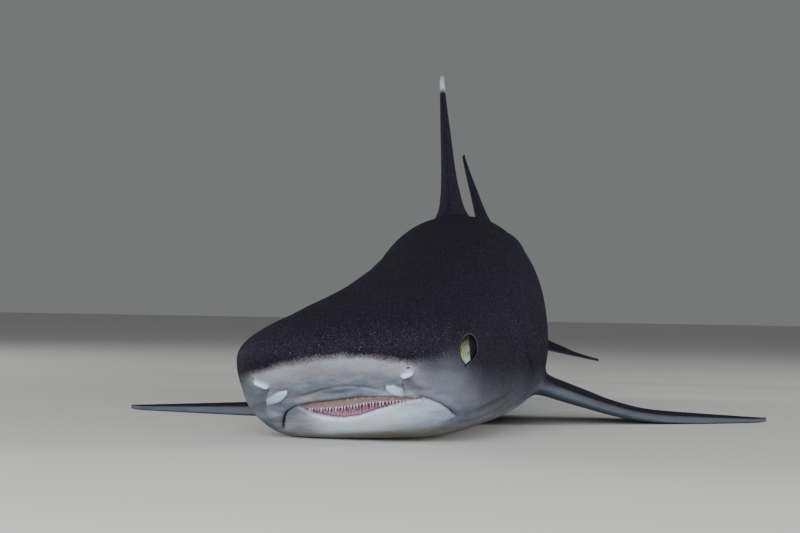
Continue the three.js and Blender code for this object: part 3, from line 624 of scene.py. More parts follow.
def closed_loft(rings):
    """Points and faces of a loft of rings with equal point counts, closed by a fan at each end."""
    count, total = rings.shape[1], rings.shape[0] * rings.shape[1]
    points = np.concatenate([rings.reshape(-1, 3), rings[:1].mean(1), rings[-1:].mean(1)])
    i = np.arange(count)
    j = (i + 1) % count
    faces = []
    for r in range(len(rings) - 1):
        a, b, c, d = r * count + i, r * count + j, (r + 1) * count + j, (r + 1) * count + i
        plate = (i >= count / 2)[:, None]
        faces.append(np.where(plate, np.stack([a, b, d], -1), np.stack([a, b, c], -1)))
        faces.append(np.where(plate, np.stack([b, c, d], -1), np.stack([a, c, d], -1)))
    last = (len(rings) - 1) * count
    faces.append(np.stack([np.full(count, total), j, i], -1))
    faces.append(np.stack([np.full(count, total + 1), last + i, last + j], -1))
    return points, np.concatenate(faces)


def rest_on_floor(rings):
    """Lifts the two faces of a fin together where the lower one would go under the floor."""
    other = rings[:, ::-1]
    lowest = np.minimum(rings[..., 2], other[..., 2])
    short = FLOOR_GAP - lowest
    lifted = rings.copy()
    lifted[..., 2] += 1.5 * np.logaddexp(0, short / 1.5)
    return lifted


def fin(name, hinge, height, sink, lead, trail, thick, place, wave=1.0):
    """One fin in its resting place: name, posed points and faces, its root line on the straight body, and marks."""
    def points_at(along, out, off):
        return np.stack(np.broadcast_arrays(*place(along, out, off)), -1)

    steps = max(12, int(height / RINGS_APART))
    spans = np.concatenate([[-1, -0.5], 1 - (1 - np.linspace(0, 1, steps)) ** 1.25])
    rings = []
    for t in spans:
        s = t * sink if t < 0 else t * height
        t = max(t, 0)
        fray = 0.5 * math.sin(37 * t + 1) + 0.35 * math.sin(83 * t + 2) + 0.25 * math.sin(151 * t)
        start = float(lead(t))
        chord = max(float(trail(t)) + fray * min(1, 8 * t), start + 2.5) - start
        half = np.maximum(THIN_EDGE / 2, float(thick(t)) / 2 * wing_thickness(WING))
        bend = wave * (1.6 * math.sin(5.5 * t + 0.6) + 0.7 * math.sin(14 * t)) * t * WING**2
        upper, lower = (points_at(start + chord * WING, s, bend + off) for off in (half, -half))
        rings.append(np.concatenate([upper, lower[::-1]]))
    rings = np.array(rings)
    posed = rest_on_floor(settle(rings.reshape(-1, 3), hinge).reshape(rings.shape))
    root = points_at(np.linspace(0, float(trail(0)), 12), 4.0, np.zeros(12))
    return name, *closed_loft(posed), unsettle(settle(root, hinge)), fin_marks(spans, WING)


def fin_marks(spans, chord):
    """How far along its span and its chord each point of a fin's loft lies, from 0 to 1."""
    span = np.repeat(np.maximum(spans, 0), 2 * len(chord))
    along = np.tile(np.concatenate([chord, chord[::-1]]), len(spans))
    return {"span": np.concatenate([span, [0, 1]]), "chord": np.concatenate([along, [0.5, 0.5]])}


def median_fin(name, at, base, height, apex, rear_tip, thick, up):
    at, base, height, apex, rear_tip = (share(x) for x in (at, base, height, apex, rear_tip))
    line = "back" if up > 0 else "belly"
    start = float(body(line, at))
    slope = (float(body(line, at + base)) - start) / base

    def place(c, s, h):
        return at + c, h, start + slope * np.minimum(c, base) + up * s

    lead, trail = fin_plan(base, apex, rear_tip)
    return fin(name, at + base / 2, height, share(0.9), lead, trail, curve(thick), place)


def paired_fin(name, side, at, out, root_height, tip_height, base, height, apex, rear_tip, pitch, sag, thick):
    at, out, root_height, tip_height, base, height, apex, rear_tip = (
        share(x) for x in (at, out, root_height, tip_height, base, height, apex, rear_tip)
    )
    tilt = math.radians(pitch)

    def place(c, s, h):
        front = root_height + (tip_height - root_height) * (s / height) * (1 + sag - sag * s / height)
        level = front - c * math.sin(tilt) * (1 - 0.85 * max(0, s / height)) + h * math.cos(tilt)
        return at + c * math.cos(tilt) + h * math.sin(tilt), side * (out + s), level

    lead, trail = fin_plan(base, apex, rear_tip, 0.2)
    return fin(name, at + base / 2, height, share(1.2), lead, trail, curve(thick), place)


LOBE_START, LOBE_LENGTH, LOBE_RISE = share(75), share(25), math.radians(14)
lobe_top = curve([[0, 1.2], [0.1, 1.7], [0.4, 1.9], [0.75, 1.5], [0.93, 1.0], [1, 0.1]])
lobe_bottom = curve([
    [0, 1.5], [0.12, 3.3], [0.26, 2.9], [0.45, 1.7], [0.68, 1.15], [0.735, 1.0], [0.76, 2.6], [0.86, 2.4], [0.95, 1.7],
    [1, 0.9],
])


def upper_tail_lobe():
    """The long upper lobe of the tail fin, with a notch under its end."""
    start_height = float(body("side", LOBE_START))
    across = np.concatenate([[0, 0.01, 0.03, 0.06], np.linspace(0.1, 0.94, 16), [0.975, 1.0]])
    spans = np.concatenate([np.linspace(0, 0.7, 50), np.linspace(0.71, 0.78, 12), np.linspace(0.8, 1, 16)])
    rings = []
    for t in spans:
        top, bottom = share(float(lobe_top(t))), share(float(lobe_bottom(t)))
        half = np.maximum(0.4, (2.2 + 6.5 * (1 - t) ** 1.3) * np.maximum(0, 1 - (2 * across - 1) ** 2) ** 0.7 * 0.9)
        reach = top - (top + bottom) * across
        bend = 2.2 * math.sin(4.5 * t) * across**2 * t
        u = LOBE_START + t * LOBE_LENGTH * math.cos(LOBE_RISE) - reach * math.sin(LOBE_RISE)
        z = start_height + t * LOBE_LENGTH * math.sin(LOBE_RISE) + reach * math.cos(LOBE_RISE)
        upper, lower = np.stack([u, half + bend, z], -1), np.stack([u, bend - half, z], -1)
        rings.append(np.concatenate([upper, lower[::-1]]))
    rings = np.array(rings)
    posed = rest_on_floor(settle(rings.reshape(-1, 3)).reshape(rings.shape))
    return "upper_tail_lobe", *closed_loft(posed), ring_at(LOBE_START), fin_marks(spans, across)


def ring_at(u):
    """A ring of points round the bare body."""
    angle = np.linspace(0, 2 * np.pi, 16)
    radius = math.sqrt(100 * u / LENGTH)
    return on_body(np.stack([radius * np.cos(angle), radius * np.sin(angle)], -1))


def lower_tail_lobe():
    at, height, base, slant = share(76.2), share(12.4), share(5.6), math.radians(56)
    level = float(body("side", at))

    def place(c, s, h):
        u = at + math.cos(slant) * s + c * math.sin(slant)
        return u, h, level - math.sin(slant) * s + c * math.cos(slant)

    lead = curve([[0, 0], [0.6, share(0.1)], [0.9, share(0.4)], [1, share(0.95)]])
    trail = curve([
        [0, base], [0.35, share(4.0)], [0.6, share(2.5)], [0.85, share(1.6)], [0.95, share(1.35)], [1, share(1.15)],
    ])
    thick = curve([[0, 12], [0.3, 8], [1, 2.6]])
    return fin("lower_tail_lobe", None, height, share(0.3), lead, trail, thick, place, wave=0.6)


PECTORAL = dict(at=19.4, out=4.5, base=6.0, rear_tip=10.2, thick=[[0, 17], [0.2, 13], [0.6, 8], [1, 3]])
PELVIC = dict(
    at=46.6, out=2.9, root_height=3.5, base=5.4, height=5.2, apex=5.0, rear_tip=8.4, pitch=-8, sag=0.15,
    thick=[[0, 9], [0.3, 7], [1, 2.4]],
)
DORSAL_THICK = [[0, 30], [0.1, 21], [0.3, 13.5], [0.6, 9], [1, 3.4]]
SECOND_THICK = [[0, 23], [0.12, 16], [0.35, 10], [0.65, 6.5], [1, 2.8]]
fins = [
    median_fin("first_dorsal", 35.6, 9.6, 10.1, 8.2, 12.9, DORSAL_THICK, 1),
    median_fin("second_dorsal", 61, 7.5, 7.6, 5.9, 10.3, SECOND_THICK, 1),
    median_fin("anal", 62, 6.6, 5.3, 5.7, 9.2, [[0, 9.5], [0.15, 7.5], [0.5, 5.5], [1, 2.2]], -1),
    paired_fin(
        "left_pectoral", 1, **PECTORAL, height=12.6, apex=8, root_height=1.7, tip_height=-2, pitch=-1.5, sag=0.8,
    ),
    paired_fin(
        "right_pectoral", -1, **PECTORAL, height=15.2, apex=5.4, root_height=1.2, tip_height=0.6, pitch=-1, sag=0.15,
    ),
    paired_fin("left_pelvic", 1, **PELVIC, tip_height=1.3),
    paired_fin("right_pelvic", -1, **PELVIC, tip_height=2.4),
    lower_tail_lobe(),
    upper_tail_lobe(),
]
root_lines = [root for _, _, _, root, _ in fins]

# ================================================================ the seamless skin
# Body and fins are joined into one skin, and the joints between them are eased into smooth hollows, as the living
# skin runs from flank to fin without a seam.
def pointing_out(points, faces):
    volume = np.einsum("ij,ij->", points[faces[:, 0]], np.cross(points[faces[:, 1]], points[faces[:, 2]]))
    return faces if volume > 0 else faces[:, ::-1]


def in_scene(name, data):
    made = bpy.data.objects.new(name, data)
    bpy.context.scene.collection.objects.link(made)
    return made


def new_object(name, points, faces, marks=None):
    """An object at the origin whose mesh has these posed points, in millimetres, and these numbers or vectors."""
    mesh = bpy.data.meshes.new(name)
    mesh.from_pydata((points / 1000).tolist(), [], pointing_out(points, faces).tolist())
    for key, values in (marks or {}).items():
        values = np.asarray(values, np.float32)
        kind, field = ("FLOAT", "value") if values.ndim == 1 else ("FLOAT_VECTOR", "vector")
        mesh.attributes.new(key, kind, "POINT").data.foreach_set(field, values.ravel())
    mesh.shade_smooth()
    return in_scene(name, mesh)


def mesh_arrays(mesh):
    """Points in millimetres and triangles of a mesh."""
    points = np.empty(3 * len(mesh.vertices))
    mesh.vertices.foreach_get("co", points)
    mesh.calc_loop_triangles()
    faces = np.empty(3 * len(mesh.loop_triangles), int)
    mesh.loop_triangles.foreach_get("vertices", faces)
    return points.reshape(-1, 3) * 1000, faces.reshape(-1, 3)


def close_end(points, faces):
    """Closes the open end of the skin with a fan; it lies inside the tail fin."""
    pairs, count = np.unique(sides_of(faces), axis=0, return_counts=True)
    rim = {tuple(pair) for pair in pairs[count == 1]}
    hub = len(points)
    points = np.concatenate([points, points[list({i for pair in rim for i in pair})].mean(0, keepdims=True)])
    fan = [[b, a, hub] for f in faces for a, b in zip(f, np.roll(f, -1)) if (min(a, b), max(a, b)) in rim]
    return points, np.concatenate([faces, np.array(fan)])


def eased(values, edges, weight, times):
    """Averages each value with its neighbours, where weight says so."""
    values = values.copy()
    count = np.bincount(edges.ravel(), minlength=len(values)).astype(float)
    for _ in range(times):
        total = np.stack([
            np.bincount(edges[:, 0], column[edges[:, 1]], len(values))
            + np.bincount(edges[:, 1], column[edges[:, 0]], len(values))
            for column in values.T
        ], -1)
        values += weight[:, None] * (total / count[:, None] - values)
    return values


domain, skin_faces = split_finer(*disc_mesh(), on_body, skin_spacing)
bare = on_body(domain)
sculpted, marks = sculpt(bare, outward(bare, skin_faces))
sculpted, skin_faces = close_end(sculpted, skin_faces)
marks = {key: np.append(values, 0.0) for key, values in marks.items()}
posed = settle(sculpted)
SQUASH = 0.8  # how softly the belly flattens on the floor
posed[:, 2] = FLOOR_GAP + SQUASH * np.logaddexp(0, (posed[:, 2] - FLOOR_GAP) / SQUASH)
bare_marks = {key: np.zeros(len(posed)) for key in ("part", "span", "chord")}  # those of the fins
skin = new_object("skin", posed, skin_faces, {**marks, **bare_marks})
solids = []
for number, (name, points, faces, _, placed) in enumerate(fins, 1):
    own = {**{key: np.zeros(len(points)) for key in marks}, "part": np.full(len(points), number), **placed}
    solid = new_object(name, points, faces, own)
    join = skin.modifiers.new(name, "BOOLEAN")
    join.operation, join.solver, join.object = "UNION", "MANIFOLD", solid
    solids.append(solid)
joined = bpy.data.meshes.new_from_object(skin.evaluated_get(bpy.context.evaluated_depsgraph_get()))
for solid in solids:
    bpy.data.objects.remove(solid)
bpy.data.objects.remove(skin)

points, skin_faces = mesh_arrays(joined)
marks.update(bare_marks)
for key in marks:
    values = np.zeros(len(points), np.float32)
    joined.attributes[key].data.foreach_get("value", values)
    marks[key] = values
edges = np.unique(sides_of(skin_faces), axis=0)
crossing = np.abs(marks["part"][edges[:, 0]] - marks["part"][edges[:, 1]]) > 0.3
seam = np.unique(edges[crossing])
near_seam = kdtree.KDTree(len(seam))
for i, place in enumerate(points[seam]):
    near_seam.insert(place, i)
near_seam.balance()
from_seam = np.array([near_seam.find(place)[2] for place in points])
HOLLOW = 11.0  # how far from a fin's root the skin is eased, in millimetres
weight = 0.6 * ramp(1 - from_seam / HOLLOW, 0, 1)
points = eased(points, edges, weight, 22)
points[:, 2] = np.maximum(points[:, 2], FLOOR_GAP)

# Colours follow the straight body. "above" is the height over the line where the dark back gives way to the pale
# underside, in millimetres, and "soft" half the width of that change: sharp round the snout, wide on the cheeks.
straight = unsettle(points)
normals = outward(points, skin_faces)
snout_line = curve([
    [-74, 33.5], [-67, 39.5], [-59.4, 44.5], [-48.7, 47.6], [-35.4, 48.9], [-22.2, 51.6], [-10.9, 52.9], [9.2, 53.9],
    [24.1, 53.3], [37.7, 51.3], [47.4, 48.2], [54, 46.2], [60, 45], [66, 42.5], [71, 42],
])
# Behind the mouth the line runs low, so that the dark reaches far down the side of the head and by the pectoral fins:
# partly the animal's colour, partly painted shade where the side turns from the light. Round the eye the change is
# widened, which lightens the dark there as a painted sheen.
flank_line = curve([
    [40, 41], [50, 35.5], [60, 32], [70, 30], [80, 27.5], [95, 21.5], [130, 16], [230, 16], [300, 20], [450, 30],
    [600, 36], [700, 52], [800, 78], [900, 106], [1000, 116], [1100, 116],
])
flank_soft = curve([
    [20, 5], [28, 7], [38, 13], [50, 19], [70, 21], [95, 27], [130, 30], [230, 28], [320, 18], [500, 13],
])
SNOUT_SOFT = 2.6
behind_snout = ramp(straight[:, 0], 35, 75)
above = straight[:, 2] - (snout_line(straight[:, 1]) * (1 - behind_snout) + flank_line(straight[:, 0]) * behind_snout)
cheek = ramp(np.abs(straight[:, 1]), 49, 60)
soft = SNOUT_SOFT + (flank_soft(straight[:, 0]) - SNOUT_SOFT) * np.maximum(cheek, ramp(straight[:, 0], 80, 110))
names = ["body"] + [name for name, *_ in fins]
part = np.array(names)[np.rint(marks["part"]).astype(int)]
dark_fin = np.isin(part, ["first_dorsal", "second_dorsal", "upper_tail_lobe"])
hanging_fin = np.isin(part, ["anal", "lower_tail_lobe"])
pectoral = np.isin(part, ["left_pectoral", "right_pectoral"])
flat_fin = pectoral | np.isin(part, ["left_pelvic", "right_pelvic"])
# fins that lie flat are dark on top and pale underneath; on the pectorals the pale wraps round the front edge and runs
# back over its top, there as painted light where the edge faces the lamp
fin_tone = 18 * normals[:, 2] - np.where(pectoral, 19 * (1 - ramp(marks["chord"], 0.04, 0.14)), -9)
above = np.where(dark_fin, 40, np.where(hanging_fin, 14, np.where(flat_fin, fin_tone, above)))
soft = np.where(dark_fin | hanging_fin, 12, np.where(flat_fin, 6, soft))
blend_colour = 0.6 * ramp(1 - from_seam / (2 * HOLLOW), 0, 1)
above, soft = eased(np.stack([above, soft], -1), edges, blend_colour, 18).T
white = np.zeros(len(points))
for name, start, full in [("first_dorsal", 0.86, 0.91), ("upper_tail_lobe", 0.93, 0.965)]:
    white += np.where(part == name, ramp(marks["span"] + 0.03 * marks["chord"], start, full), 0)
# painted shade: the pale side of the head greys towards the back, less so low down, and the pale side of the flat fins
# greys too
cheek *= (0.25 + 0.75 * ramp(straight[:, 2], 3, 13)) * (1 + 0.45 * ramp(straight[:, 0], 45, 110))
cheek = np.where(part == "body", cheek, 1.8 * flat_fin)
marks.update(above=above, soft=soft, white=white, cheek=cheek, straight=straight / 1000)
skin = new_object("skin", points, skin_faces, marks)


# ---------------------------------------------------------------- shark skin
# Skin set all over with tiny tooth-like scales. It scatters light like fine matt sandpaper, and the glints where a
# scale catches the light are painted into its colour. It is violet grey-brown above and pale below, with white fin
# tips.
def linear(colour):
    """A hex sRGB colour as linear RGBA."""
    parts = [int(colour[i : i + 2], 16) / 255 for i in (1, 3, 5)]
    return (*[c / 12.92 if c <= 0.04045 else ((c + 0.055) / 1.055) ** 2.4 for c in parts], 1.0)


def fill(tree, node, inputs):
    """Links or sets a node's inputs, by name or place."""
    for key, value in inputs.items():
        if isinstance(value, bpy.types.NodeSocket):
            tree.links.new(value, node.inputs[key])
        else:
            node.inputs[key].default_value = value


def add(tree, kind, inputs=None, **settings):
    """Adds a node with its settings and inputs."""
    made = tree.nodes.new(kind)
    for key, value in settings.items():
        setattr(made, key, value)
    fill(tree, made, inputs or {})
    return made


def new_material(name):
    material = bpy.data.materials.new(name)
    material.use_nodes = True
    return material, material.node_tree, material.node_tree.nodes["Principled BSDF"]


def mixed(tree, factor, first, second):
    """A colour that goes from the first to the second with the factor."""
    first, second = (linear(c) if isinstance(c, str) else c for c in (first, second))
    return add(tree, "ShaderNodeMix", {0: factor, 6: first, 7: second}, data_type="RGBA").outputs[2]


def maths(tree, operation, *values):
    """The result of one Math node."""
    return add(tree, "ShaderNodeMath", dict(enumerate(values)), operation=operation).outputs[0]


def ranged(tree, value, start, end, low=0.0, high=1.0, **settings):
    """A number that goes from low to high while the value goes from start to end."""
    return add(tree, "ShaderNodeMapRange", {0: value, 1: start, 2: end, 3: low, 4: high}, **settings).outputs[0]


def stretched(tree, vector, factors):
    return add(tree, "ShaderNodeVectorMath", {0: vector, 1: factors}, operation="MULTIPLY").outputs[0]


def noise(tree, vector, per_mm, detail):
    inputs = {"Vector": vector, "Scale": per_mm * PER_MM, "Detail": detail}
    return add(tree, "ShaderNodeTexNoise", inputs).outputs["Fac"]


def cells(tree, vector, per_mm):
    """Distance and colour of a Voronoi pattern."""
    made = add(tree, "ShaderNodeTexVoronoi", {"Vector": vector, "Scale": per_mm * PER_MM})
    return made.outputs["Distance"], made.outputs["Color"]


def relief(tree, height, strength, distance, below=None):
    """A bump on top of another one, with its height in metres."""
    inputs = {"Strength": strength, "Distance": distance, "Height": height}
    return add(tree, "ShaderNodeBump", inputs if below is None else {**inputs, "Normal": below}).outputs[0]


PER_MM = 1000.0  # pattern scale of one cell a millimetre, because points are in metres
shark_skin, tree, shader = new_material("shark_skin_denticles")
mark = {
    key: add(tree, "ShaderNodeAttribute", attribute_name=key).outputs["Fac"] for key in marks if key != "straight"
}
place = add(tree, "ShaderNodeAttribute", attribute_name="straight").outputs["Vector"]
station, _, height = add(tree, "ShaderNodeSeparateXYZ", {0: place}).outputs

# the fringe of the dark back is frayed into fine upright strokes, about 3 mm long and under 1 mm wide
strokes = noise(tree, stretched(tree, place, (1, 1, 0.25)), 1.3, 2.0)
patches = noise(tree, place, 0.07, 3.0)
frayed = maths(tree, "MULTIPLY_ADD", strokes, 6.0, mark["above"])
frayed = maths(tree, "MULTIPLY_ADD", patches, 5.0, frayed)
frayed = maths(tree, "SUBTRACT", frayed, 5.5)  # so that the line stays where it is on average
ratio = maths(tree, "DIVIDE", frayed, mark["soft"])
tone = ranged(tree, ratio, -1.0, 1.0, interpolation_type="SMOOTHSTEP")

# dark back: slow patches, with a fine grain of paler scales
grain = noise(tree, place, 1.1, 2.0)
dark = mixed(tree, patches, "#14121A", "#211D25")
dark = mixed(tree, ranged(tree, grain, 0.42, 0.75), dark, "#333140")
# painted glints: single scales that catch the light, in two sizes, both drawn larger than the real ones so that they
# show
for per_mm, wide, most, paint in [(0.62, 0.2, 0.25, "#717890"), (1.0, 0.26, 0.3, "#434655")]:
    distance, tint = cells(tree, place, per_mm)
    spark = ranged(tree, distance, wide, wide * 0.4)
    chosen = ranged(tree, add(tree, "ShaderNodeSeparateColor", {0: tint}).outputs[0], most, 1.0)
    dark = mixed(tree, maths(tree, "MULTIPLY", spark, chosen), dark, paint)

# pale underside: warm and light next to the fringe and bluish grey further under it, the darkening being painted shade,
# with level streaks, smoky patches and lilac blushes; browner and greyer in the lowest millimetres over the floor,
# greyed by painted shade on the cheeks and in the grooves of the folds, and whiter on the lower jaw
level = stretched(tree, place, (0.25, 0.25, 1))
streaks, smoke = noise(tree, level, 0.22, 4.0), noise(tree, level, 0.09, 2.0)
blush = noise(tree, place, 0.05, 3.0)
# painted shade: the pale darkens with depth under the line, and again far under it
depth = maths(tree, "MULTIPLY_ADD", streaks, 12.0, mark["above"])
depth = ranged(tree, depth, 4.0, -13.0, interpolation_type="SMOOTHSTEP")
pale = mixed(tree, depth, "#B0B2BC", "#77808F")
for amount, paint in [
    (ranged(tree, mark["above"], -15.0, -26.0, high=0.6), "#5C616B"),
    (ranged(tree, streaks, 0.4, 0.66, high=0.65), "#AEB9C8"),
    (ranged(tree, smoke, 0.48, 0.72, high=0.55), "#6A717E"),
    (ranged(tree, grain, 0.4, 0.65, 0.22, 0.0), "#50545E"),
    (ranged(tree, blush, 0.45, 0.75, high=0.4), "#A58F95"),
    (ranged(tree, height, 0.009, 0.005, high=0.65), "#7F786C"),
    (maths(tree, "MULTIPLY", mark["cheek"], 0.46), "#474F5C"),
    (mark["fold_shade"], "#635A4C"),
    (maths(tree, "MULTIPLY", mark["jaw"], 0.95), mixed(tree, streaks, "#B9CFE2", "#E4F1FC")),
]:
    pale = mixed(tree, amount, pale, paint)

# a brown line where the two meet, and a few faint dark spots as large as a pea on the flanks
colour = mixed(tree, tone, pale, dark)
edge = maths(tree, "SUBTRACT", tone, 1.0)
edge = maths(tree, "MULTIPLY", maths(tree, "MULTIPLY", edge, tone), -4.0)
colour = mixed(tree, maths(tree, "DIVIDE", edge, mark["soft"]), colour, "#4B3A30")
distance, tint = cells(tree, place, 0.017)
rare = maths(tree, "GREATER_THAN", add(tree, "ShaderNodeSeparateColor", {0: tint}).outputs[1], 0.55)
blot = maths(tree, "MULTIPLY", ranged(tree, distance, 0.11, 0.06, high=0.55), rare)
blot = maths(tree, "MULTIPLY", blot, ranged(tree, station, 0.22, 0.3))
colour = mixed(tree, blot, colour, "#0C0B0F")
# the marks: fin tips, nostrils, lid rims and mouth in their own colours, and painted shade in creases, slits, holes and
# eye sockets
for key, paint in [
    ("white", "#B9BCC4"), ("nostril", "#C4ECF9"), ("lid", "#5D5B54"), ("mouth", "#BD86AC"), ("recess_shade", "#060506"),
    ("socket_shade", "#060608"),
]:
    colour = mixed(tree, mark[key], colour, paint)
wet = ranged(tree, mark["mouth"], 0.0, 1.0, 0.7, 0.22)
fill(tree, shader, {"Base Color": colour, "Roughness": wet, "IOR": 1.4, "Specular IOR Level": 0.03})

# relief: the scales, fine wrinkles, and the rays that run out through the fins
scales = cells(tree, place, 1.15)[0]
fin_place = add(tree, "ShaderNodeCombineXYZ", {0: mark["chord"], 1: mark["span"], 2: mark["part"]}).outputs[0]
rays = noise(tree, stretched(tree, fin_place, (55, 2.5, 9)), 1 / PER_MM, 1.0)
bump = relief(tree, scales, 0.45, 0.00035)
bump = relief(tree, noise(tree, place, 0.3, 3.0), 0.35, 0.0006, bump)
bump = relief(tree, rays, ranged(tree, mark["span"], 0.05, 0.3, high=0.5), 0.0009, bump)
fill(tree, shader, {"Normal": bump})
skin.data.materials.append(shark_skin)
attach(skin, "root")
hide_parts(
    "head", "lower_jaw", "gill_region", "trunk", "tail_stock", "caudal_fin", "first_dorsal_fin",
    "second_dorsal_fin", "anal_fin", "left_pectoral_fin", "right_pectoral_fin", "left_pelvic_fin", "right_pelvic_fin",
)

# ================================================================ gums
# Wet flesh that carries the teeth. The upper gum shows as a tan band under the lip and turns lilac at the teeth;
# the lower one is rosier and stands up behind its teeth.
GUM_SIDES = 24


def gum_band(name, centre_line, half_depth, half_height, seed, material):
    """A soft band along a line of straight points, with small swellings about as close as the teeth."""
    turns = 2 * np.pi * np.arange(GUM_SIDES) / GUM_SIDES
    rings = []
    for i, (middle, depth, height) in enumerate(zip(centre_line, half_depth, half_height)):
        swell = 1 + 0.07 * math.sin(2.3 * i + seed) + 0.04 * math.sin(0.9 * i + 2 * seed)
        u = middle[0] + depth * swell * np.cos(turns)
        rings.append(np.stack([u, np.full(GUM_SIDES, middle[1]), middle[2] + height * swell * np.sin(turns)], -1))
    points, faces = closed_loft(np.array(rings))
    rise = np.append(np.tile(np.sin(turns), len(centre_line)), [0, 0])
    piece = new_object(name, settle(points), faces, {"rise": rise})
    piece.data.materials.append(material)
    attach(piece, "root")


def gum_material(name, upper_colour, lower_colour, vein_colour, change):
    material, tree, shader = new_material(name)
    place = add(tree, "ShaderNodeTexCoord").outputs["Object"]
    rise = add(tree, "ShaderNodeAttribute", attribute_name="rise").outputs["Fac"]
    veins = noise(tree, place, 0.6, 4.0)
    height = maths(tree, "MULTIPLY_ADD", veins, 0.8, rise)
    colour = mixed(tree, ranged(tree, height, change - 0.3, change + 0.3), lower_colour, upper_colour)
    colour = mixed(tree, ranged(tree, veins, 0.55, 0.75, high=0.6), colour, vein_colour)
    lumps = relief(tree, cells(tree, place, 0.55)[0], 0.5, 0.0005)
    fill(tree, shader, {
        "Base Color": colour, "Normal": lumps, "Roughness": 0.3, "Coat Weight": 0.4, "Coat Roughness": 0.15,
    })
    return material


MOUTH_SPAN = np.linspace(-32.5, 45.5, 110)
lip_u = np.interp(MOUTH_SPAN, upper_lip[:, 1], upper_lip[:, 0])
lip_z = np.interp(MOUTH_SPAN, upper_lip[:, 1], upper_lip[:, 2])
low_z = lip_z - opening(MOUTH_SPAN)
low_u = front_at(MOUTH_SPAN, low_z)
room = opening(MOUTH_SPAN) / WIDEST
upper_band = 0.7 + 4.6 * room**0.8  # how far the upper gum shows under the lip
gum_band(
    "upper_gum", np.stack([lip_u + 6.0, MOUTH_SPAN, lip_z + 0.9 - upper_band * 0.45], -1), 2.4 + 1.2 * room,
    0.9 + upper_band * 0.6, 1.0, gum_material("wet_gum_tan_lilac", "#836F6A", "#A68CB0", "#A9928F", -0.4),
)
gum_band(
    "lower_gum", np.stack([low_u + 7.6, MOUTH_SPAN, low_z + 3.3 * room], -1), 1.8 + 0.8 * room,
    0.9 + 5.2 * room, 4.0, gum_material("wet_gum_rose", "#9C799C", "#D198A6", "#D9AFBC", 0.6),
)

# ================================================================ teeth
# Small glassy teeth with one long cusp and a short one on each side, rooted in the gums in a close row. The rows
# are grown along each gum by one Geometry Nodes tree.
def tooth_row_tree():
    tree = bpy.data.node_groups.new("tooth_row", "GeometryNodeTree")
    face = tree.interface
    face.new_socket("Gum line", in_out="INPUT", socket_type="NodeSocketGeometry")
    for key in ("Spacing", "Height", "Width", "Lean"):
        face.new_socket(key, in_out="INPUT", socket_type="NodeSocketFloat")
    face.new_socket("Seed", in_out="INPUT", socket_type="NodeSocketInt")
    face.new_socket("Enamel", in_out="INPUT", socket_type="NodeSocketMaterial")
    face.new_socket("Teeth", in_out="OUTPUT", socket_type="NodeSocketGeometry")
    given = add(tree, "NodeGroupInput").outputs
    line = add(tree, "GeometryNodeMeshToCurve", {"Mesh": given["Gum line"]}).outputs[0]
    line = add(tree, "GeometryNodeResampleCurve", {"Curve": line, "Length": given["Spacing"]}, mode="LENGTH").outputs[0]
    # one tooth: three cusps joined, its root at the origin and its tip up
    cusps = add(tree, "GeometryNodeJoinGeometry")
    for out, tall, wide, tilt in [(0.0, 1.0, 1.0, 0.0), (-0.9, 0.36, 0.6, -0.3), (0.9, 0.36, 0.6, 0.3)]:
        cone = add(tree, "GeometryNodeMeshCone", {
            "Vertices": 7, "Side Segments": 3, "Radius Top": 0.00006,
            "Radius Bottom": maths(tree, "MULTIPLY", given["Width"], wide),
            "Depth": maths(tree, "MULTIPLY", given["Height"], tall),
        }).outputs[0]
        offset = add(tree, "ShaderNodeCombineXYZ", {0: maths(tree, "MULTIPLY", given["Width"], out)}).outputs[0]
        cusp = add(tree, "GeometryNodeTransform", {"Geometry": cone, "Translation": offset, "Rotation": (0, tilt, 0)})
        tree.links.new(cusp.outputs[0], cusps.inputs[0])
    lean = add(
        tree, "FunctionNodeRandomValue", {0: (-0.16, -0.2, -0.5), 1: (0.16, 0.2, 0.5), "Seed": given["Seed"]},
        data_type="FLOAT_VECTOR",
    ).outputs[0]
    lean_x = add(tree, "ShaderNodeCombineXYZ", {0: given["Lean"]}).outputs[0]
    lean = add(tree, "ShaderNodeVectorMath", {0: lean, 1: lean_x}).outputs[0]
    size = add(tree, "FunctionNodeRandomValue", {2: 0.7, 3: 1.15, "Seed": given["Seed"]}, data_type="FLOAT").outputs[1]
    tangent = add(tree, "GeometryNodeInputTangent").outputs[0]
    facing = add(tree, "FunctionNodeAlignEulerToVector", {"Vector": tangent}, axis="X", pivot_axis="Z").outputs[0]
    placed = add(tree, "GeometryNodeInstanceOnPoints", {
        "Points": line, "Instance": cusps.outputs[0], "Rotation": facing, "Scale": size,
    }).outputs[0]
    placed = add(tree, "GeometryNodeRotateInstances", {"Instances": placed, "Rotation": lean}).outputs[0]
    real = add(tree, "GeometryNodeRealizeInstances", {0: placed}).outputs[0]
    done = add(tree, "GeometryNodeSetMaterial", {"Geometry": real, "Material": given["Enamel"]}).outputs[0]
    add(tree, "NodeGroupOutput", {"Teeth": done})
    return tree


enamel, tree, shader = new_material("tooth_enameloid")
place = add(tree, "ShaderNodeTexCoord").outputs["Object"]
colour = mixed(tree, noise(tree, place, 0.9, 2.0), "#C49BB2", "#DEC0CB")
fill(tree, shader, {"Base Color": colour, "Roughness": 0.22, "IOR": 1.6})

tooth_tree = tooth_row_tree()
socket_of = {item.name: item.identifier for item in tooth_tree.interface.items_tree}


